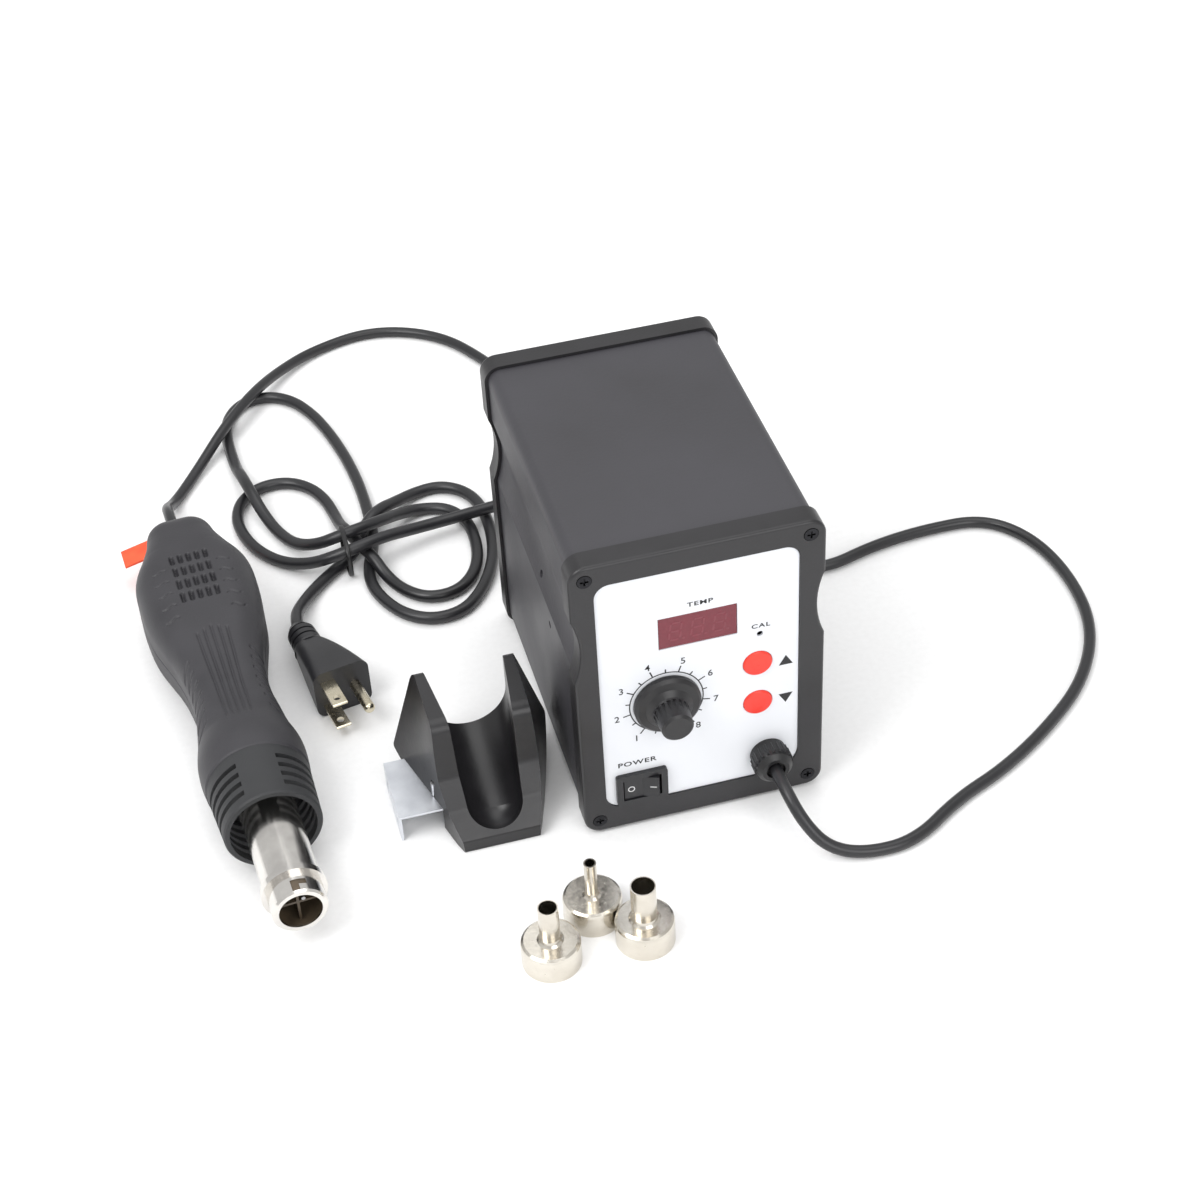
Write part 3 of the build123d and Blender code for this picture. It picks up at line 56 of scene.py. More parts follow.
# ---- materials ------------------------------------------------------------------------------
def linear(code):
    """sRGB hex such as #2b2b2d to a linear RGBA tuple: the standard sRGB curve, channel by channel."""
    channels = [int(code[i:i + 2], 16) / 255 for i in (1, 3, 5)]
    return tuple(c / 12.92 if c <= 0.04045 else ((c + 0.055) / 1.055) ** 2.4 for c in channels) + (1.0,)


def add(tree, kind, links=None, **settings):
    """Adds one node. links maps an input's name or number to a value or to (node, output)."""
    new = tree.nodes.new(kind)
    for key, value in settings.items():
        setattr(new, key, value)
    for key, value in (links or {}).items():
        socket = new.inputs[key]
        if isinstance(value, tuple) and isinstance(value[0], bpy.types.Node):
            tree.links.new(value[0].outputs[value[1]], socket)
        else:
            socket.default_value = value
    return new


def blank(name):
    """A new material with its shader and output: returns (material, tree, shader)."""
    material = bpy.data.materials.new(name)
    material.use_nodes = True
    tree = material.node_tree
    return material, tree, tree.nodes["Principled BSDF"]


def spread(tree, factor, stops):
    """A colour ramp over factor, (node, output), with stops of (place, hex or number)."""
    ramp = add(tree, "ShaderNodeValToRGB", {0: factor})
    while len(ramp.color_ramp.elements) < len(stops):
        ramp.color_ramp.elements.new(0.5)
    for element, (place, value) in zip(ramp.color_ramp.elements, stops):
        element.position = place
        element.color = linear(value) if isinstance(value, str) else (value, value, value, 1.0)
    return ramp


def moulded(name, dark, light, rough, grain=0.0006, depth=0.00004, patch=0.02, spread_rough=0.06, ior=1.53):
    """Moulded plastic with a spark-eroded grain: grain is the width of one pit in metres and depth
    its height; patch is the size of the slow changes in shade and gloss from handling."""
    material, tree, shader = blank(name)
    place = add(tree, "ShaderNodeTexCoord")
    slow = add(tree, "ShaderNodeTexNoise", {"Vector": (place, "Object"), "Scale": 1 / patch, "Detail": 4.0})
    pits = add(tree, "ShaderNodeTexNoise", {"Vector": (place, "Object"), "Scale": 0.5 / grain, "Detail": 3.0,
                                            "Roughness": 0.6})
    shade = spread(tree, (slow, 0), [(0.3, dark), (0.7, light)])
    gloss = spread(tree, (slow, 0), [(0.3, rough - spread_rough), (0.7, rough + spread_rough)])
    bump = add(tree, "ShaderNodeBump", {"Height": (pits, 0), "Distance": depth, "Strength": 1.0})
    tree.links.new(shade.outputs[0], shader.inputs["Base Color"])
    tree.links.new(gloss.outputs[0], shader.inputs["Roughness"])
    tree.links.new(bump.outputs[0], shader.inputs["Normal"])
    shader.inputs["IOR"].default_value = ior
    return material


def metal(name, base, tint, rough, streak=(1.0, 1.0, 1.0), scale=300.0, depth=0.00001, spread_rough=0.08):
    """Bare metal. streak stretches the wear pattern along an axis, as drawing or brushing does."""
    material, tree, shader = blank(name)
    place = add(tree, "ShaderNodeTexCoord")
    stretch = add(tree, "ShaderNodeMapping", {"Vector": (place, "Object"), "Scale": streak})
    marks = add(tree, "ShaderNodeTexNoise", {"Vector": (stretch, 0), "Scale": scale, "Detail": 5.0})
    smudge = add(tree, "ShaderNodeTexNoise", {"Vector": (place, "Object"), "Scale": 90.0, "Detail": 3.0})
    shade = spread(tree, (smudge, 0), [(0.35, base), (0.7, tint)])
    gloss = spread(tree, (marks, 0), [(0.3, rough - spread_rough / 2), (0.7, rough + spread_rough)])
    bump = add(tree, "ShaderNodeBump", {"Height": (marks, 0), "Distance": depth, "Strength": 1.0})
    tree.links.new(shade.outputs[0], shader.inputs["Base Color"])
    tree.links.new(gloss.outputs[0], shader.inputs["Roughness"])
    tree.links.new(bump.outputs[0], shader.inputs["Normal"])
    shader.inputs["Metallic"].default_value = 1.0
    return material


# ABS end covers: fine spark-eroded grain, drawn at 0.7 mm so that it still shows; soft broad sheen
cover_abs = moulded("cover_abs_black", "#1b1a1c", "#222124", 0.4, grain=0.0007, depth=0.00005)
# steel sleeve with textured powder coat: orange peel about 1 mm across, a greyer satin than the covers
powder_coat = moulded("sleeve_powder_coat", "#333236", "#3a393e", 0.48, grain=0.0009, depth=0.00007,
                      patch=0.05)
# glass-filled nylon gun shells: dry dark grey with a faint bloom
gun_nylon = moulded("gun_nylon_grey", "#2b2a2e", "#333236", 0.55, grain=0.0006, depth=0.00006, patch=0.015)
# nylon guard round the heater, a little blacker and drier than the handle
guard_nylon = moulded("guard_nylon_black", "#242527", "#2e2f31", 0.6, grain=0.0006, depth=0.00005)
# ABS holder: smooth moulding with a slight gloss on its rims
holder_abs = moulded("holder_abs_black", "#151416", "#1c1b1e", 0.36, grain=0.0009, depth=0.00004)
# ABS knob with a fine matt texture
knob_abs = moulded("knob_abs_black", "#131214", "#1a191b", 0.4, grain=0.0005, depth=0.00003)
# nylon switch and gland
switch_nylon = moulded("switch_nylon_black", "#17171a", "#1e1e21", 0.33, grain=0.0008, depth=0.00002)
gland_nylon = moulded("gland_nylon_black", "#101011", "#171719", 0.4, grain=0.0006, depth=0.00004)
# screen-printed polycarbonate front panel: cool white satin
panel_white = moulded("panel_polycarbonate_white", "#dfe1e6", "#e6e8ec", 0.38, grain=0.0005,
                      depth=0.000015, patch=0.06)
# orange-red ABS key caps
key_orange = moulded("key_abs_orange", "#e42e20", "#ea3828", 0.35, grain=0.0006, depth=0.00002)
# PVC cable sheath: smooth black with a soft highlight
cord_pvc = moulded("cord_pvc_black", "#1b1b1d", "#242427", 0.36, grain=0.0012, depth=0.00004, patch=0.03)
plug_pvc = moulded("plug_pvc_black", "#1c1c1e", "#262629", 0.42, grain=0.0009, depth=0.00005)
foot_rubber = moulded("foot_rubber_black", "#161616", "#202020", 0.75, grain=0.0008, depth=0.00005)
# coated film label in signal orange
label_film = moulded("label_film_orange", "#f2502c", "#fb6238", 0.5, grain=0.0015, depth=0.00004, patch=0.008)
# black ink for the panel print; the same black also paints the shade in the knob's pointer recess
ink_and_painted_shade_black = moulded("ink_and_painted_shade_black", "#141416", "#1d1d20", 0.5, grain=0.0004, depth=0.00001)
ink_white = moulded("ink_white", "#d8d9da", "#e6e6e6", 0.5, grain=0.0004, depth=0.00001)
board_green = moulded("board_laminate_green", "#1c5a35", "#226b40", 0.4, grain=0.001, depth=0.00002)
part_black = moulded("part_epoxy_black", "#18181a", "#242427", 0.45)
mica_tan = moulded("mica_sheet_brown", "#3f362b", "#5a4d3c", 0.5, grain=0.0015, depth=0.00008, patch=0.006)
lamination = metal("transformer_laminations", "#6e675f", "#857d73", 0.5)
winding = metal("winding_copper", "#b5683a", "#c97c48", 0.4)
# drawn stainless steel: bright, with fine marks along the tube
stainless = metal("stainless_drawn", "#cfccc8", "#e2dfda", 0.16, streak=(1.0, 0.06, 1.0), scale=900.0)
# nickel-plated nozzles: warm bright plate, slightly wavy from pressing
nickel = metal("nickel_plate", "#cdc7bc", "#ddd8ce", 0.2, scale=500.0, depth=0.00002)
zinc_plate = metal("zinc_plate", "#c9ccd2", "#dcdfe4", 0.34, scale=700.0, depth=0.00001)
screw_black = metal("screw_black_oxide", "#2b2b2d", "#3a3a3d", 0.42)
screw_steel = metal("screw_steel", "#9a9a9c", "#b4b4b6", 0.35)
heater_wire = metal("heater_wire", "#5c5751", "#74706a", 0.5)
alloy = metal("heatsink_alloy", "#b9bcc0", "#cfd2d6", 0.4)
pin_brass = metal("pin_nickel_brass", "#cfc6ae", "#e0d8c4", 0.22, scale=600.0)


def smoked_window():
    """Tinted acrylic display window: deep red-brown, glossy."""
    material, tree, shader = blank("window_acrylic_red")
    place = add(tree, "ShaderNodeTexCoord")
    dust = add(tree, "ShaderNodeTexNoise", {"Vector": (place, "Object"), "Scale": 800.0, "Detail": 4.0})
    shade = spread(tree, (dust, 0), [(0.35, "#6d2430"), (0.75, "#762a36")])
    gloss = spread(tree, (dust, 0), [(0.4, 0.10), (0.8, 0.22)])
    tree.links.new(shade.outputs[0], shader.inputs["Base Color"])
    tree.links.new(gloss.outputs[0], shader.inputs["Roughness"])
    shader.inputs["IOR"].default_value = 1.49
    return material


def floor_paper():
    """Plain pale paper sweep."""
    material, tree, shader = blank("floor_paper")
    place = add(tree, "ShaderNodeTexCoord")
    fibre = add(tree, "ShaderNodeTexNoise", {"Vector": (place, "Object"), "Scale": 400.0, "Detail": 4.0})
    shade = spread(tree, (fibre, 0), [(0.3, "#f6f6f6"), (0.7, "#fafafa")])
    tree.links.new(shade.outputs[0], shader.inputs["Base Color"])
    shader.inputs["Roughness"].default_value = 0.9
    return material


window_red = smoked_window()
segment_red = moulded("segment_unlit_red", "#752c38", "#7e323e", 0.4, grain=0.0006, depth=0.00001)

FINISHES = {
    cover_abs: ["front_bezel", "rear_cover"],
    powder_coat: ["sleeve_case"],
    panel_white: ["front_panel"],
    window_red: ["display_window"],
    screw_black: ["cover_screws"],
    switch_nylon: ["switch_housing", "switch_rocker"],
    knob_abs: ["airflow_knob"],
    alloy: ["knob_shaft", "heatsink"],
    screw_steel: ["potentiometer_nut", "airflow_potentiometer", "handle_screws", "bracket_screws",
                  "cradle_magnet", "thermocouple"],
    key_orange: ["up_button", "down_button"],
    part_black: ["display_module", "board_components", "power_parts", "fan_housing", "fan_motor", "impeller",
                 "board_standoffs"],
    pin_brass: ["trimmer_rotor", "plug_pins"],
    board_green: ["control_board", "power_board", "handle_board"],
    gland_nylon: ["gland_body", "gland_cap", "gland_locknut", "cable_tie"],
    lamination: ["transformer_core"],
    winding: ["transformer_coil"],
    gun_nylon: ["handle_shell_top", "handle_shell_bottom"],
    guard_nylon: ["front_cage"],
    stainless: ["nozzle_seat", "heater_tube"],
    mica_tan: ["mica_sleeve", "heater_former"],
    heater_wire: ["heater_coil"],
    foot_rubber: ["rubber_feet", "gland_seal", "mains_strain_relief", "tail_boot"],
    label_film: ["cord_tag"],
    nickel: ["nozzle_5mm", "nozzle_8mm", "nozzle_10mm"],
    holder_abs: ["cradle"],
    zinc_plate: ["cradle_bracket"],
    plug_pvc: ["plug_body"],
    cord_pvc: ["handle_cord", "mains_cord", "mains_hank", "plug_lead"],
}
for finish, names in FINISHES.items():
    for name in names:
        for place_slot in NODES[name].material_slots:
            place_slot.material = finish
        if not NODES[name].material_slots:
            NODES[name].data.materials.append(finish)


# ---- mesh helpers -----------------------------------------------------------------------------
def build(name, points, faces, material, body, smooth=True):
    """A mesh object from arrays of points and faces, riding on a body."""
    mesh = bpy.data.meshes.new(name)
    mesh.from_pydata(points.tolist(), [], faces)
    mesh.validate()
    mesh.materials.append(material)
    mesh.polygons.foreach_set("use_smooth", np.full(len(mesh.polygons), smooth))
    mesh.update()
    piece = bpy.data.objects.new(name, mesh)
    bpy.context.scene.collection.objects.link(piece)
    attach(piece, body)
    return piece


def tube_faces(rings, around, closed=True):
    """Quads between neighbouring rings of a grid with `around` points in each ring."""
    ring = np.arange(rings - 1)[:, None]
    spot = np.arange(around if closed else around - 1)[None, :]
    after = (spot + 1) % around
    a, b = ring * around + spot, ring * around + after
    return np.stack([a, b, b + around, a + around], axis=-1).reshape(-1, 4)


def cord(name, route, diameter, material, body):
    """Round cord along one smooth NURBS line whose control points are the route."""
    line = bpy.data.curves.new(name, "CURVE")
    line.dimensions = "3D"
    spline = line.splines.new("NURBS")
    spline.points.add(len(route) - 1)
    spline.points.foreach_set("co", np.hstack([CASE + route, np.ones((len(route), 1))]).ravel())
    spline.order_u = 3
    spline.use_endpoint_u = True
    line.resolution_u = 10
    line.bevel_depth = diameter / 2
    line.bevel_resolution = 5
    line.use_fill_caps = True
    line.materials.append(material)
    piece = bpy.data.objects.new(name, line)
    bpy.context.scene.collection.objects.link(piece)
    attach(piece, body)
    return piece


# ---- cords ------------------------------------------------------------------------------------
HANDLE_ROUTE = [
    (0.0270, -0.0812, 0.0236), (0.0270, -0.0940, 0.0236), (0.0310, -0.1055, 0.0145),
    (0.0390, -0.1130, 0.0052), (0.0530, -0.1180, 0.0027), (0.0740, -0.1175, 0.0027),
    (0.0980, -0.1010, 0.0027), (0.1230, -0.0905, 0.0027), (0.1500, -0.0730, 0.0027),
    (0.1750, -0.0515, 0.0027), (0.1930, -0.0220, 0.0027), (0.1980, 0.0120, 0.0027),
    (0.1930, 0.0440, 0.0027), (0.1770, 0.0640, 0.0027), (0.1490, 0.0650, 0.0027),
    (0.1220, 0.0615, 0.0027), (0.0950, 0.0525, 0.0027), (0.0710, 0.0630, 0.0027),
    (0.0580, 0.0920, 0.0027), (0.0490, 0.1260, 0.0027), (0.0340, 0.1600, 0.0027),
    (0.0160, 0.1940, 0.0027), (0.0000, 0.2280, 0.0027), (-0.0120, 0.2630, 0.0027),
    (-0.0310, 0.2970, 0.0027), (-0.0640, 0.3130, 0.0027), (-0.0970, 0.3045, 0.0027),
    (-0.1185, 0.2865, 0.0055), (-0.1345, 0.2640, 0.0106), (-0.1515, 0.2410, 0.0100),
    (-0.1660, 0.2230, 0.0040), (-0.1780, 0.2045, 0.0027), (-0.1845, 0.1930, 0.0045),
    (-0.1868, 0.1815, 0.0125), (-0.1863, 0.1694, 0.0180), (-0.1855, 0.1579, 0.0180)]
MAINS_ROUTE = [
    (-0.0080, 0.1010, 0.0200), (-0.0080, 0.1130, 0.0195), (-0.0102, 0.1250, 0.0140),
    (-0.0175, 0.1355, 0.0094), (-0.0295, 0.1388, 0.0089), (-0.0420, 0.1375, 0.0089),
    (-0.0545, 0.1355, 0.0092), (-0.0675, 0.1340, 0.0092), (-0.0805, 0.1305, 0.0110),
    (-0.0925, 0.1255, 0.0142), (-0.1050, 0.1210, 0.0150), (-0.1170, 0.1205, 0.0125),
    (-0.1285, 0.1260, 0.0065), (-0.1405, 0.1355, 0.0029), (-0.1500, 0.1480, 0.0029),
    (-0.1550, 0.1620, 0.0029), (-0.1560, 0.1765, 0.0029), (-0.1512, 0.1890, 0.0029),
    (-0.1410, 0.1965, 0.0029), (-0.1285, 0.1963, 0.0029), (-0.1185, 0.1885, 0.0029),
    (-0.1130, 0.1765, 0.0029), (-0.1108, 0.1635, 0.0029), (-0.1100, 0.1515, 0.0055),
    (-0.1080, 0.1410, 0.0098), (-0.1045, 0.1305, 0.0092), (-0.1002, 0.1205, 0.0088),
    (-0.0958, 0.1100, 0.0032), (-0.0900, 0.0980, 0.0029), (-0.0805, 0.0895, 0.0029),
    (-0.0680, 0.0895, 0.0029), (-0.0585, 0.0975, 0.0029), (-0.0530, 0.1095, 0.0029),
    (-0.0508, 0.1245, 0.0029), (-0.0518, 0.1400, 0.0029), (-0.0590, 0.1515, 0.0029),
    (-0.0710, 0.1550, 0.0029), (-0.0825, 0.1490, 0.0070), (-0.0915, 0.1400, 0.0125),
    (-0.1015, 0.1335, 0.0157), (-0.1125, 0.1312, 0.0152), (-0.1230, 0.1348, 0.0100),
    (-0.1320, 0.1445, 0.0046), (-0.1385, 0.1580, 0.0029), (-0.1432, 0.1720, 0.0050),
    (-0.1468, 0.1855, 0.0099), (-0.1490, 0.1990, 0.0095), (-0.1503, 0.2130, 0.0034),
    (-0.1512, 0.2295, 0.0029), (-0.1512, 0.2460, 0.0029), (-0.1478, 0.2595, 0.0029),
    (-0.1390, 0.2693, 0.0029), (-0.1265, 0.2708, 0.0029), (-0.1155, 0.2635, 0.0029),
    (-0.1080, 0.2500, 0.0029), (-0.1025, 0.2325, 0.0029), (-0.0980, 0.2100, 0.0029),
    (-0.0955, 0.1870, 0.0029), (-0.0950, 0.1670, 0.0029), (-0.0955, 0.1495, 0.0029),
    (-0.0972, 0.1350, 0.0029), (-0.1023, 0.1205, 0.0029), (-0.1038, 0.1065, 0.0029),
    (-0.0998, 0.0930, 0.0029), (-0.0925, 0.0810, 0.0029), (-0.0810, 0.0740, 0.0029),
    (-0.0675, 0.0755, 0.0029), (-0.0575, 0.0855, 0.0029), (-0.0495, 0.0990, 0.0029),
    (-0.0443, 0.1150, 0.0029), (-0.0423, 0.1320, 0.0029), (-0.0430, 0.1495, 0.0029),
    (-0.0480, 0.1620, 0.0029), (-0.0585, 0.1695, 0.0029), (-0.0710, 0.1680, 0.0029),
    (-0.0818, 0.1605, 0.0055), (-0.0910, 0.1518, 0.0100), (-0.0988, 0.1438, 0.0092),
    (-0.1050, 0.1353, 0.0029), (-0.1125, 0.1270, 0.0029), (-0.1215, 0.1195, 0.0029),
    (-0.1305, 0.1100, 0.0034), (-0.1375, 0.0975, 0.0065), (-0.1410, 0.0865, 0.0108),
    (-0.1414, 0.0760, 0.0122)]

handle_lead = cord("handle_lead", HANDLE_ROUTE, 0.0052, cord_pvc, "station")
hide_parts("handle_cord")

mains_lead = cord("mains_lead", MAINS_ROUTE, 0.0056, cord_pvc, "station")
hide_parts("mains_cord", "mains_hank", "plug_lead")


# ---- front panel: print, display segments, rocker marks ---------------------------------------
def lettering(text, height, spacing=1.0, widen=1.0, weight=0.012):
    """Outline of a word with capitals `height` tall, centred on (0, 0): flat points and faces."""
    words = bpy.data.curves.new("words", "FONT")
    words.body = text
    words.space_character = spacing
    words.offset = weight
    mesh = bpy.data.meshes.new_from_object(bpy.data.objects.new("words", words))
    flat = np.empty(3 * len(mesh.vertices))
    mesh.vertices.foreach_get("co", flat)
    flat = flat.reshape(-1, 3)[:, :2]
    low, high = flat.min(0), flat.max(0)
    size = height / (high[1] - low[1])
    return (flat - (low + high) / 2) * (size * widen, size), [tuple(face.vertices) for face in mesh.polygons]


def arc_band(radius, width, start, end, steps):
    """Flat band along an arc: angles in degrees clockwise from the top, seen from the front."""
    angle = np.radians(np.linspace(start, end, steps + 1))
    edge = np.stack([np.sin(angle), np.cos(angle)], axis=1)
    points = np.concatenate([edge * (radius - width / 2), edge * (radius + width / 2)])
    inner = np.arange(steps)
    outer = inner + steps + 1
    return points, np.stack([inner, inner + 1, outer + 1, outer], axis=1)[:, ::-1].tolist()


def stroke(start, end, width):
    """Flat bar from one point to another."""
    start, end = np.array(start), np.array(end)
    along = (end - start) / np.linalg.norm(end - start)
    side = np.array([-along[1], along[0]]) * width / 2
    return np.array([start - side, end - side, end + side, start + side]), [(0, 1, 2, 3)]


def shift(shape, x, z):
    """A flat shape moved by x across and z up."""
    points, faces = shape
    return np.asarray(points) + (x, z), faces


def join(shapes):
    """Several flat shapes as one set of points and faces."""
    points, faces, count = [], [], 0
    for flat, sides in shapes:
        points.append(flat)
        faces += [tuple(int(i) + count for i in side) for side in sides]
        count += len(flat)
    return np.concatenate(points), faces


def printed(name, shapes, material, body, origin, across, rise):
    """Flat shapes laid on a plane through origin, with unit vectors across and up the plane."""
    flat, faces = join(shapes)
    points = np.array(origin) + flat[:, :1] * np.array(across) + flat[:, 1:] * np.array(rise)
    return build(name, points, faces, material, body, smooth=False)


INK_LIFT = 0.00004
panel_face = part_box("front_panel")[0][1] - INK_LIFT
knob_centre = np.array(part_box("knob_shaft")).mean(0) - CASE
window = np.array(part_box("display_window")) - CASE
up_key = np.array(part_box("up_button")).mean(0) - CASE
down_key = np.array(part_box("down_button")).mean(0) - CASE
DIAL_R = 0.01485
NUMBER_R = 0.0205
NUMBER_STEP = 40.6
FIRST_NUMBER = -142.0


def dial():
    """Scale round the airflow knob: ring, long ticks at the numbers, short ones between, 1 to 8."""
    shapes = [arc_band(DIAL_R, 0.0005, -178, 146, 96)]
    for place in range(-1, 15):
        angle = math.radians(FIRST_NUMBER + NUMBER_STEP * place / 2)
        out = np.array([math.sin(angle), math.cos(angle)])
        numbered = place % 2 == 0
        shapes.append(stroke(out * DIAL_R, out * (DIAL_R + (0.0031 if numbered else 0.0018)), 0.00055))
        if numbered:
            shapes.append(shift(lettering(str(place // 2 + 1), 0.0031), *(out * NUMBER_R)))
    return [shift(shape, knob_centre[0], knob_centre[2]) for shape in shapes]


def triangle(x, z, size):
    """Triangle pointing up for a positive size and down for a negative one."""
    half = abs(size) / 2
    points = np.array([(x - half, z - size * 0.42), (x + half, z - size * 0.42), (x, z + size * 0.42)])
    return points, [(0, 1, 2) if size > 0 else (2, 1, 0)]


printed("panel_print", dial() + [
    shift(lettering("TEMP", 0.0021, 1.15, 1.35, 0.022), 0.0003, 0.1102),
    shift(lettering("CAL", 0.0021, 1.2, 1.3, 0.022), 0.0243, 0.0922),
    shift(lettering("POWER", 0.0024, 1.15, 1.3, 0.022), -0.0270, 0.0345),
    triangle(0.0344, up_key[2] - 0.0015, 0.0058),
    triangle(0.0344, down_key[2] - 0.0010, -0.0058),
], ink_and_painted_shade_black, "station", (CASE[0], panel_face, 0), (1, 0, 0), (0, 0, 1))


def seven_segments(height):
    """The seven bars and the point of one figure, `height` tall and leaning a little."""
    half_w, half_h, bar = height * 0.27, height / 2, height * 0.1
    ends = [((-half_w, level), (half_w, level)) for level in (half_h, 0, -half_h)]
    for side in (-half_w, half_w):
        ends += [((side, 0), (side, half_h)), ((side, -half_h), (side, 0))]
    shapes = []
    for start, end in ends:
        start, end = np.array(start), np.array(end)
        cut = (end - start) / np.linalg.norm(end - start) * bar * 0.75
        shapes.append(stroke(start + cut, end - cut, bar))
    shapes.append(arc_band(bar * 0.4, bar * 0.8, 0, 360, 12))
    shapes[-1] = shift(shapes[-1], half_w + bar * 1.7, -half_h)
    return [(points + points[:, 1:] * (0.12, 0), faces) for points, faces in shapes]


figures = [shift(shape, x, 0) for x in (-0.0088, 0.0, 0.0088) for shape in seven_segments(0.0082)]
printed("display_segments", figures, segment_red, "station",
        (CASE[0] + window[:, 0].mean(), CASE[1] + window[0, 1] - INK_LIFT, window[:, 2].mean()),
        (1, 0, 0), (0, 0, 1))


def flat_face(node, left):
    """Point and normal of the largest front facet in a node's left or right half."""
    mesh = NODES[node].data
    normals, centres = np.empty(3 * len(mesh.polygons)), np.empty(3 * len(mesh.polygons))
    areas = np.empty(len(mesh.polygons))
    mesh.polygons.foreach_get("normal", normals)
    mesh.polygons.foreach_get("center", centres)
    mesh.polygons.foreach_get("area", areas)
    normals, centres = normals.reshape(-1, 3), centres.reshape(-1, 3)
    middle = np.array(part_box(node)).mean(0)[0]
    fits = (normals[:, 1] < -0.8) & ((centres[:, 0] < middle) == left)
    best = np.argmax(np.where(fits, areas, 0))
    return centres[best], normals[best]


def rocker_mark(name, shape, x, left):
    """A white mark on one half of the rocker."""
    point, normal = flat_face("switch_rocker", left)
    across = np.array([normal[1], -normal[0], 0]) * (-1 if normal[1] < 0 else 1)
    across /= np.linalg.norm(across)
    middle = np.array(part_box("switch_rocker")).mean(0)
    spot = np.array([middle[0] + x, 0, middle[2]])
    spot[1] = point[1] - (normal[0] * (spot[0] - point[0]) + normal[2] * (spot[2] - point[2])) / normal[1]
    printed(name, [shape], ink_white, "power_rocker", spot + normal * INK_LIFT * 2, across, (0, 0, 1))


rocker_mark("rocker_mark_off", arc_band(0.00125, 0.0004, 0, 360, 32), -0.0045, True)
rocker_mark("rocker_mark_on", stroke((-0.0013, 0), (0.0013, 0), 0.0004), 0.0042, False)

# painted shade: a flat black disc on the knob's end stands for the shade in its small pointer recess
knob_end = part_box("airflow_knob")[0][1]
printed("knob_recess_painted_shade", [arc_band(0.0003, 0.0006, 0, 360, 24)], ink_and_painted_shade_black, "airflow_control",
        (CASE[0] + knob_centre[0] + 0.0030, knob_end - INK_LIFT, knob_centre[2] - 0.0037),
        (1, 0, 0), (0, 0, 1))


# ---- gun handle -------------------------------------------------------------------------------
# distance back from the mouth, half-width, half-height
HANDLE_SECTIONS = np.array([
    (73, 21.5, 21.5), (86, 21.9, 21.8), (96, 20.0, 20.0), (110, 17.0, 17.2), (128, 16.7, 17.0),
    (148, 19.6, 18.8), (168, 24.4, 20.8), (188, 26.0, 21.8), (204, 24.6, 21.6), (216, 19.4, 20.8),
    (226, 15.6, 19.6), (234, 13.4, 17.6), (239.5, 9.0, 13.5)]) / 1000
MOUTH_TO_SEAT = 0.0054
# moulded grooves, in metres: places back from the mouth, pitches, half-lengths and depths
SLOT_BACK, SLOT_ROW, SLOT_COLUMN, SLOT_HALF, SLOT_DEPTH = 0.1745, 0.0086, 0.0037, 0.00225, 0.0022
STRIPE_START, STRIPE_END, STRIPE_STEP, STRIPE_DEPTH = 0.094, 0.1535, 0.0015, 0.0006
WAVE_BACK, WAVE_PITCH, WAVE_ACROSS, WAVE_DEPTH = 0.1630, 0.00775, 0.0143, 0.0006
GRIP_BACK, GRIP_PITCH, GRIP_SLANT, GRIP_DEPTH = 0.0985, 0.0062, 0.75, 0.0009
seat = next(mount for mount in frame["record"]["mounts"] if mount["name"] == "gun_nozzle_seat")
GUN_BACK = -np.array(seat["axis"])
GUN_SIDE = np.cross(GUN_BACK, (0, 0, 1))
GUN_MOUTH = np.array(seat["pos_m"]) - MOUTH_TO_SEAT * GUN_BACK


def smooth_through(knots, values, at):
    """Natural cubic spline through the knots: second slopes from one linear system, then the cubic."""
    step = np.diff(knots)
    count = len(knots)
    system, right = np.eye(count), np.zeros(count)
    inner = np.arange(1, count - 1)
    system[inner, inner - 1] = step[:-1]
    system[inner, inner] = 2 * (step[:-1] + step[1:])
    system[inner, inner + 1] = step[1:]
    right[1:-1] = 6 * np.diff(np.diff(values) / step)
    bend = np.linalg.solve(system, right)
    span = np.clip(np.searchsorted(knots, at) - 1, 0, count - 2)
    width, before, after = step[span], at - knots[span], knots[span + 1] - at
    return (bend[span] * after ** 3 + bend[span + 1] * before ** 3) / (6 * width) + \
        (values[span] / width - bend[span] * width / 6) * after + \
        (values[span + 1] / width - bend[span + 1] * width / 6) * before


def ease(value, low, high):
    """Smooth step from 0 at low to 1 at high."""
    part = np.clip((value - low) / (high - low), 0, 1)
    return part * part * (3 - 2 * part)


def trench(distance, half):
    """1 in the middle of a groove, 0 outside it, with rounded walls."""
    return 1 - ease(np.abs(distance), half * 0.55, half * 1.3)


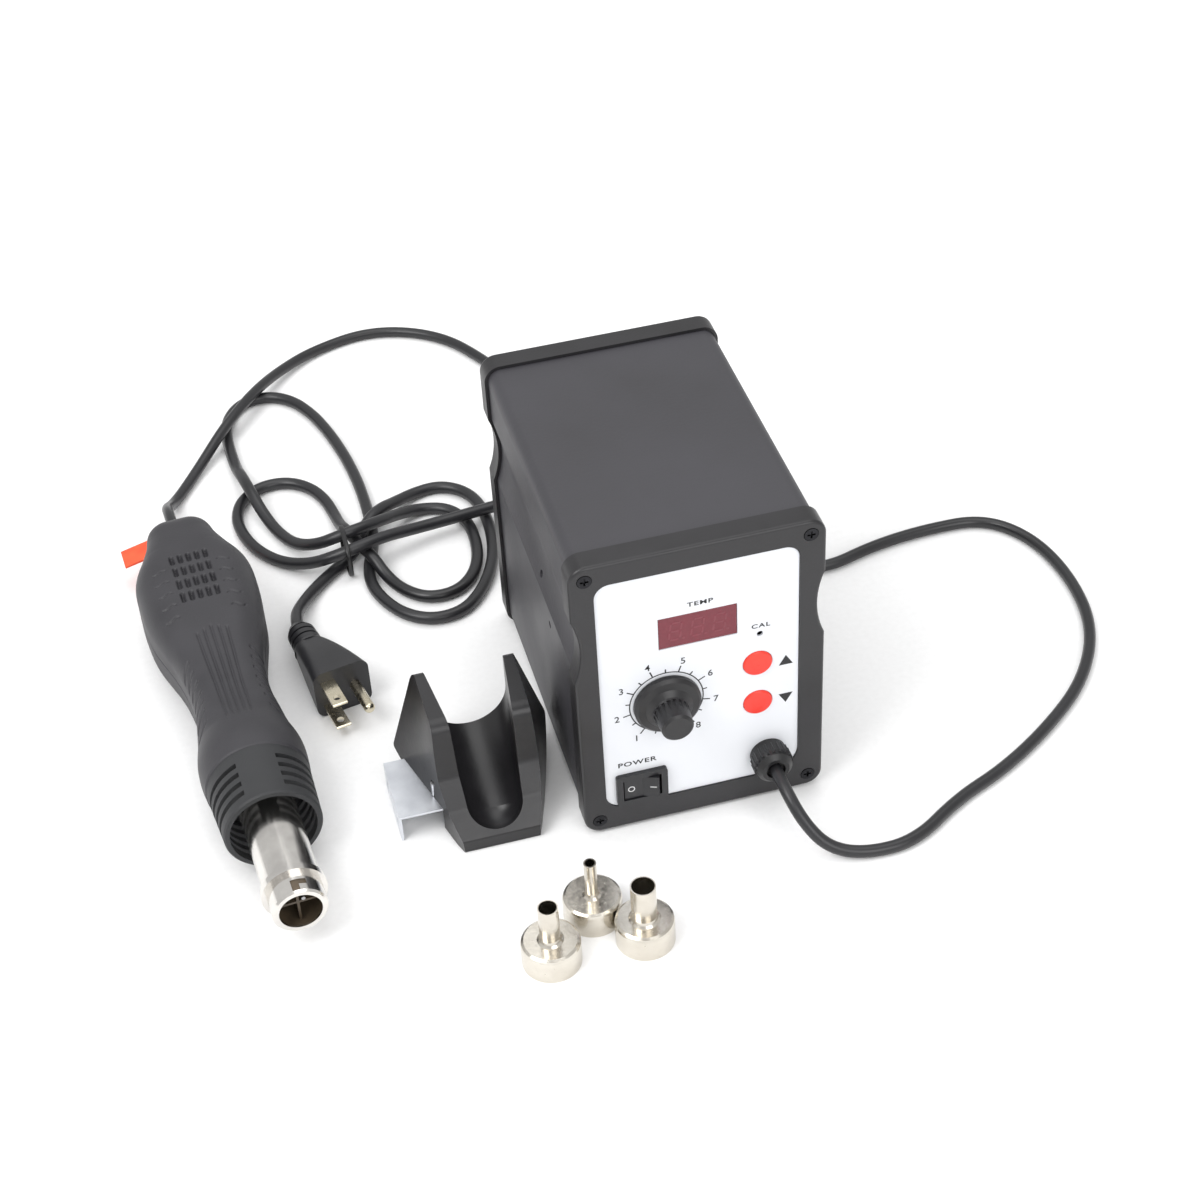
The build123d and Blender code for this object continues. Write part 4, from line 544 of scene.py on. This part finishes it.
def handle_skin(name, side):
    """Half of the handle: each section is a flat top, two round shoulders and straight sides, with
    its size from the smooth table; moulded grooves are pressed in along the section's normal.
    side is 1 for the top half and -1 for the bottom one."""
    first, last = HANDLE_SECTIONS[0, 0], HANDLE_SECTIONS[-1, 0]
    back = np.linspace(first, last, 521)
    inset = 0.0006 * (1 - ease(back, first, first + 0.0008)) + 0.0012 * ease(back, last - 0.0012, last)
    back = np.concatenate([[first], back, [last]])
    inset = np.concatenate([[0.0085], inset, [0.0089]])
    half_w = smooth_through(HANDLE_SECTIONS[:, 0], HANDLE_SECTIONS[:, 1], back) - inset
    half_h = smooth_through(HANDLE_SECTIONS[:, 0], HANDLE_SECTIONS[:, 2], back) - inset
    round_share = 0.95 - 0.33 * ease(back, 0.096, 0.110)
    corner = round_share * np.minimum(half_w, half_h)
    half_w, half_h, corner, back = (value[:, None] for value in (half_w, half_h, corner, back))
    top_run, arc_run = half_w - corner, corner * math.pi / 2
    share = np.linspace(-1, 1, 181)[None, :]
    run = np.abs(share) * (top_run + arc_run + half_h - corner)
    angle = np.clip((run - top_run) / corner, 0, math.pi / 2)
    normal_x, normal_z = np.sin(angle) * np.sign(share), np.cos(angle)
    across = (np.minimum(run, top_run) + corner * np.sin(angle)) * np.sign(share)
    rise = half_h - corner + corner * np.cos(angle) - np.maximum(run - top_run - arc_run, 0)

    depth = 0.0004 * (1 - ease(rise, 0.0, 0.0005))
    for row in range(4):
        past_end = np.maximum(np.abs(back - SLOT_BACK - row * SLOT_ROW) - SLOT_HALF, 0)
        for column in range(-2, 3):
            slot = np.hypot(across - column * SLOT_COLUMN, past_end)
            depth = np.maximum(depth, SLOT_DEPTH * (1 - ease(slot, 0.00068, 0.00108)))
    for stripe in range(-2, 3):
        centre = stripe * (0.0026 + 0.0006 * ease(back, 0.11, 0.155))
        stop = STRIPE_END - abs(stripe) * STRIPE_STEP
        ends = ease(back, STRIPE_START, STRIPE_START + 0.005) * (1 - ease(back, stop, stop + 0.002))
        depth = np.maximum(depth, STRIPE_DEPTH * trench(across - centre, 0.00055) * ends)
    for wave in range(5):
        out = np.abs(across) - WAVE_ACROSS
        ripple = back - WAVE_BACK - WAVE_PITCH * wave + 0.0008 * np.sin(out * 900)
        within = 1 - ease(np.abs(out), 0.0028, 0.0034)
        depth = np.maximum(depth, WAVE_DEPTH * trench(ripple, 0.0005) * within)
    for grip in range(7):
        down = run - (top_run + arc_run * 0.62)
        slant = back - GRIP_BACK - GRIP_PITCH * grip + GRIP_SLANT * down
        within = 1 - ease(np.abs(down), 0.0036, 0.0044)
        depth = np.maximum(depth, GRIP_DEPTH * trench(slant, 0.0008) * within)

    across, rise = across - normal_x * depth, rise - normal_z * depth
    points = GUN_MOUTH + back[..., None] * GUN_BACK + across[..., None] * GUN_SIDE + \
        (rise * side)[..., None] * np.array([0.0, 0.0, 1.0])
    rows, columns = across.shape
    faces = tube_faces(rows, columns, closed=False)
    if side < 0:
        faces = faces[:, ::-1]
    return build(name, points.reshape(-1, 3), faces.tolist(), gun_nylon, "gun")


for side, half in ((1, "top"), (-1, "bottom")):
    shell = handle_skin("gun_shell_" + half, side)
    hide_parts("handle_shell_" + half)


# ---- cable tie ----------------------------------------------------------------------------------
def strap(name, material):
    """Thin flat strap round the tied strands: a rounded rectangular ring, swept with a flat
    section whose edges are rounded."""
    low, high = (np.array(corner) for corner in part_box("cable_tie"))
    turns, sides = 96, 16
    turn = np.linspace(0, 2 * math.pi, turns + 1)[:-1, None]
    section = np.linspace(0, 2 * math.pi, sides + 1)[None, :-1]
    half_y, half_z, power = 0.0120, (high[2] - low[2]) / 2 - 0.0007, 0.62
    middle = np.array([CASE[0] - 0.1110, CASE[1] + 0.1270, half_z + 0.0007])
    thick = 0.00055 * np.cos(section)
    wide = 0.0011 * np.sign(np.sin(section)) * np.abs(np.sin(section)) ** 0.5
    bend_y = np.sign(np.cos(turn)) * np.abs(np.cos(turn)) ** power
    bend_z = np.sign(np.sin(turn)) * np.abs(np.sin(turn)) ** power
    points = np.stack([middle[0] + wide + 0 * turn, middle[1] + (half_y + thick) * bend_y,
                       middle[2] + (half_z + thick) * bend_z], axis=-1)
    faces = tube_faces(turns, sides)
    spot = np.arange(sides)
    after, last_ring = (spot + 1) % sides, (turns - 1) * sides
    closing = np.stack([last_ring + spot, last_ring + after, after, spot], axis=1)
    return build(name, points.reshape(-1, 3), np.concatenate([faces, closing]).tolist(), material, "station")


tie = strap("tie_strap", gland_nylon)
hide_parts("cable_tie")


# ---- floor, light and camera ------------------------------------------------------------------
def area_light(name, place, aim, size, power, tint="#ffffff"):
    """A square soft light at place, from the case's base, turned to face aim."""
    lamp = bpy.data.lights.new(name, "AREA")
    lamp.shape = "SQUARE"
    lamp.size = size
    lamp.energy = power
    lamp.color = linear(tint)[:3]
    lit = bpy.data.objects.new(name, lamp)
    lit.location = CASE + place
    lit.rotation_euler = (Vector(aim) - Vector(place)).to_track_quat("-Z", "Y").to_euler()
    bpy.context.scene.collection.objects.link(lit)


floor_size = 6.0
floor_mesh = bpy.data.meshes.new("floor")
floor_corners = [(x * floor_size, y * floor_size, 0.0) for x, y in ((-1, -1), (1, -1), (1, 1), (-1, 1))]
floor_mesh.from_pydata(floor_corners, [], [(0, 1, 2, 3)])
floor_mesh.materials.append(floor_paper())
floor = bpy.data.objects.new("floor", floor_mesh)
bpy.context.scene.collection.objects.link(floor)

area_light("key_light", (-0.9, -0.4, 1.2), (-0.05, 0.0, 0.05), 0.8, 11.5)
area_light("top_light", (0.1, 0.3, 1.6), (-0.05, 0.05, 0.05), 1.4, 9.0)
area_light("front_light", (0.3, -1.3, 0.9), (0.0, 0.0, 0.06), 0.9, 7.5)
bpy.context.scene.view_settings.view_transform = "Standard"

world = bpy.data.worlds.new("studio")
world.use_nodes = True
world.node_tree.nodes["Background"].inputs["Color"].default_value = linear("#ffffff")
world.node_tree.nodes["Background"].inputs["Strength"].default_value = 0.72
bpy.context.scene.world = world

AZIMUTH, ELEVATION, ROLL = math.radians(-12.824), math.radians(40.445), math.radians(-3.572)
TARGET, DISTANCE = Vector(CASE) + Vector((-0.03824, -0.073, 0.12235)), 0.8395
back = Vector((math.sin(AZIMUTH) * math.cos(ELEVATION), -math.cos(AZIMUTH) * math.cos(ELEVATION),
               math.sin(ELEVATION)))
right = (-back).cross(Vector((0, 0, 1))).normalized()
up = back.cross(right)
tilted_right = math.cos(ROLL) * right + math.sin(ROLL) * up
tilted_up = math.cos(ROLL) * up - math.sin(ROLL) * right
lens = bpy.data.cameras.new("camera")
lens.lens = 68.31
lens.sensor_width = 36.0
lens.clip_start = 0.01
camera = bpy.data.objects.new("camera", lens)
camera.matrix_world = Matrix.Translation(TARGET + back * DISTANCE) @ Matrix(
    (tilted_right, tilted_up, back)).transposed().to_4x4()
bpy.context.scene.collection.objects.link(camera)
bpy.context.scene.camera = camera
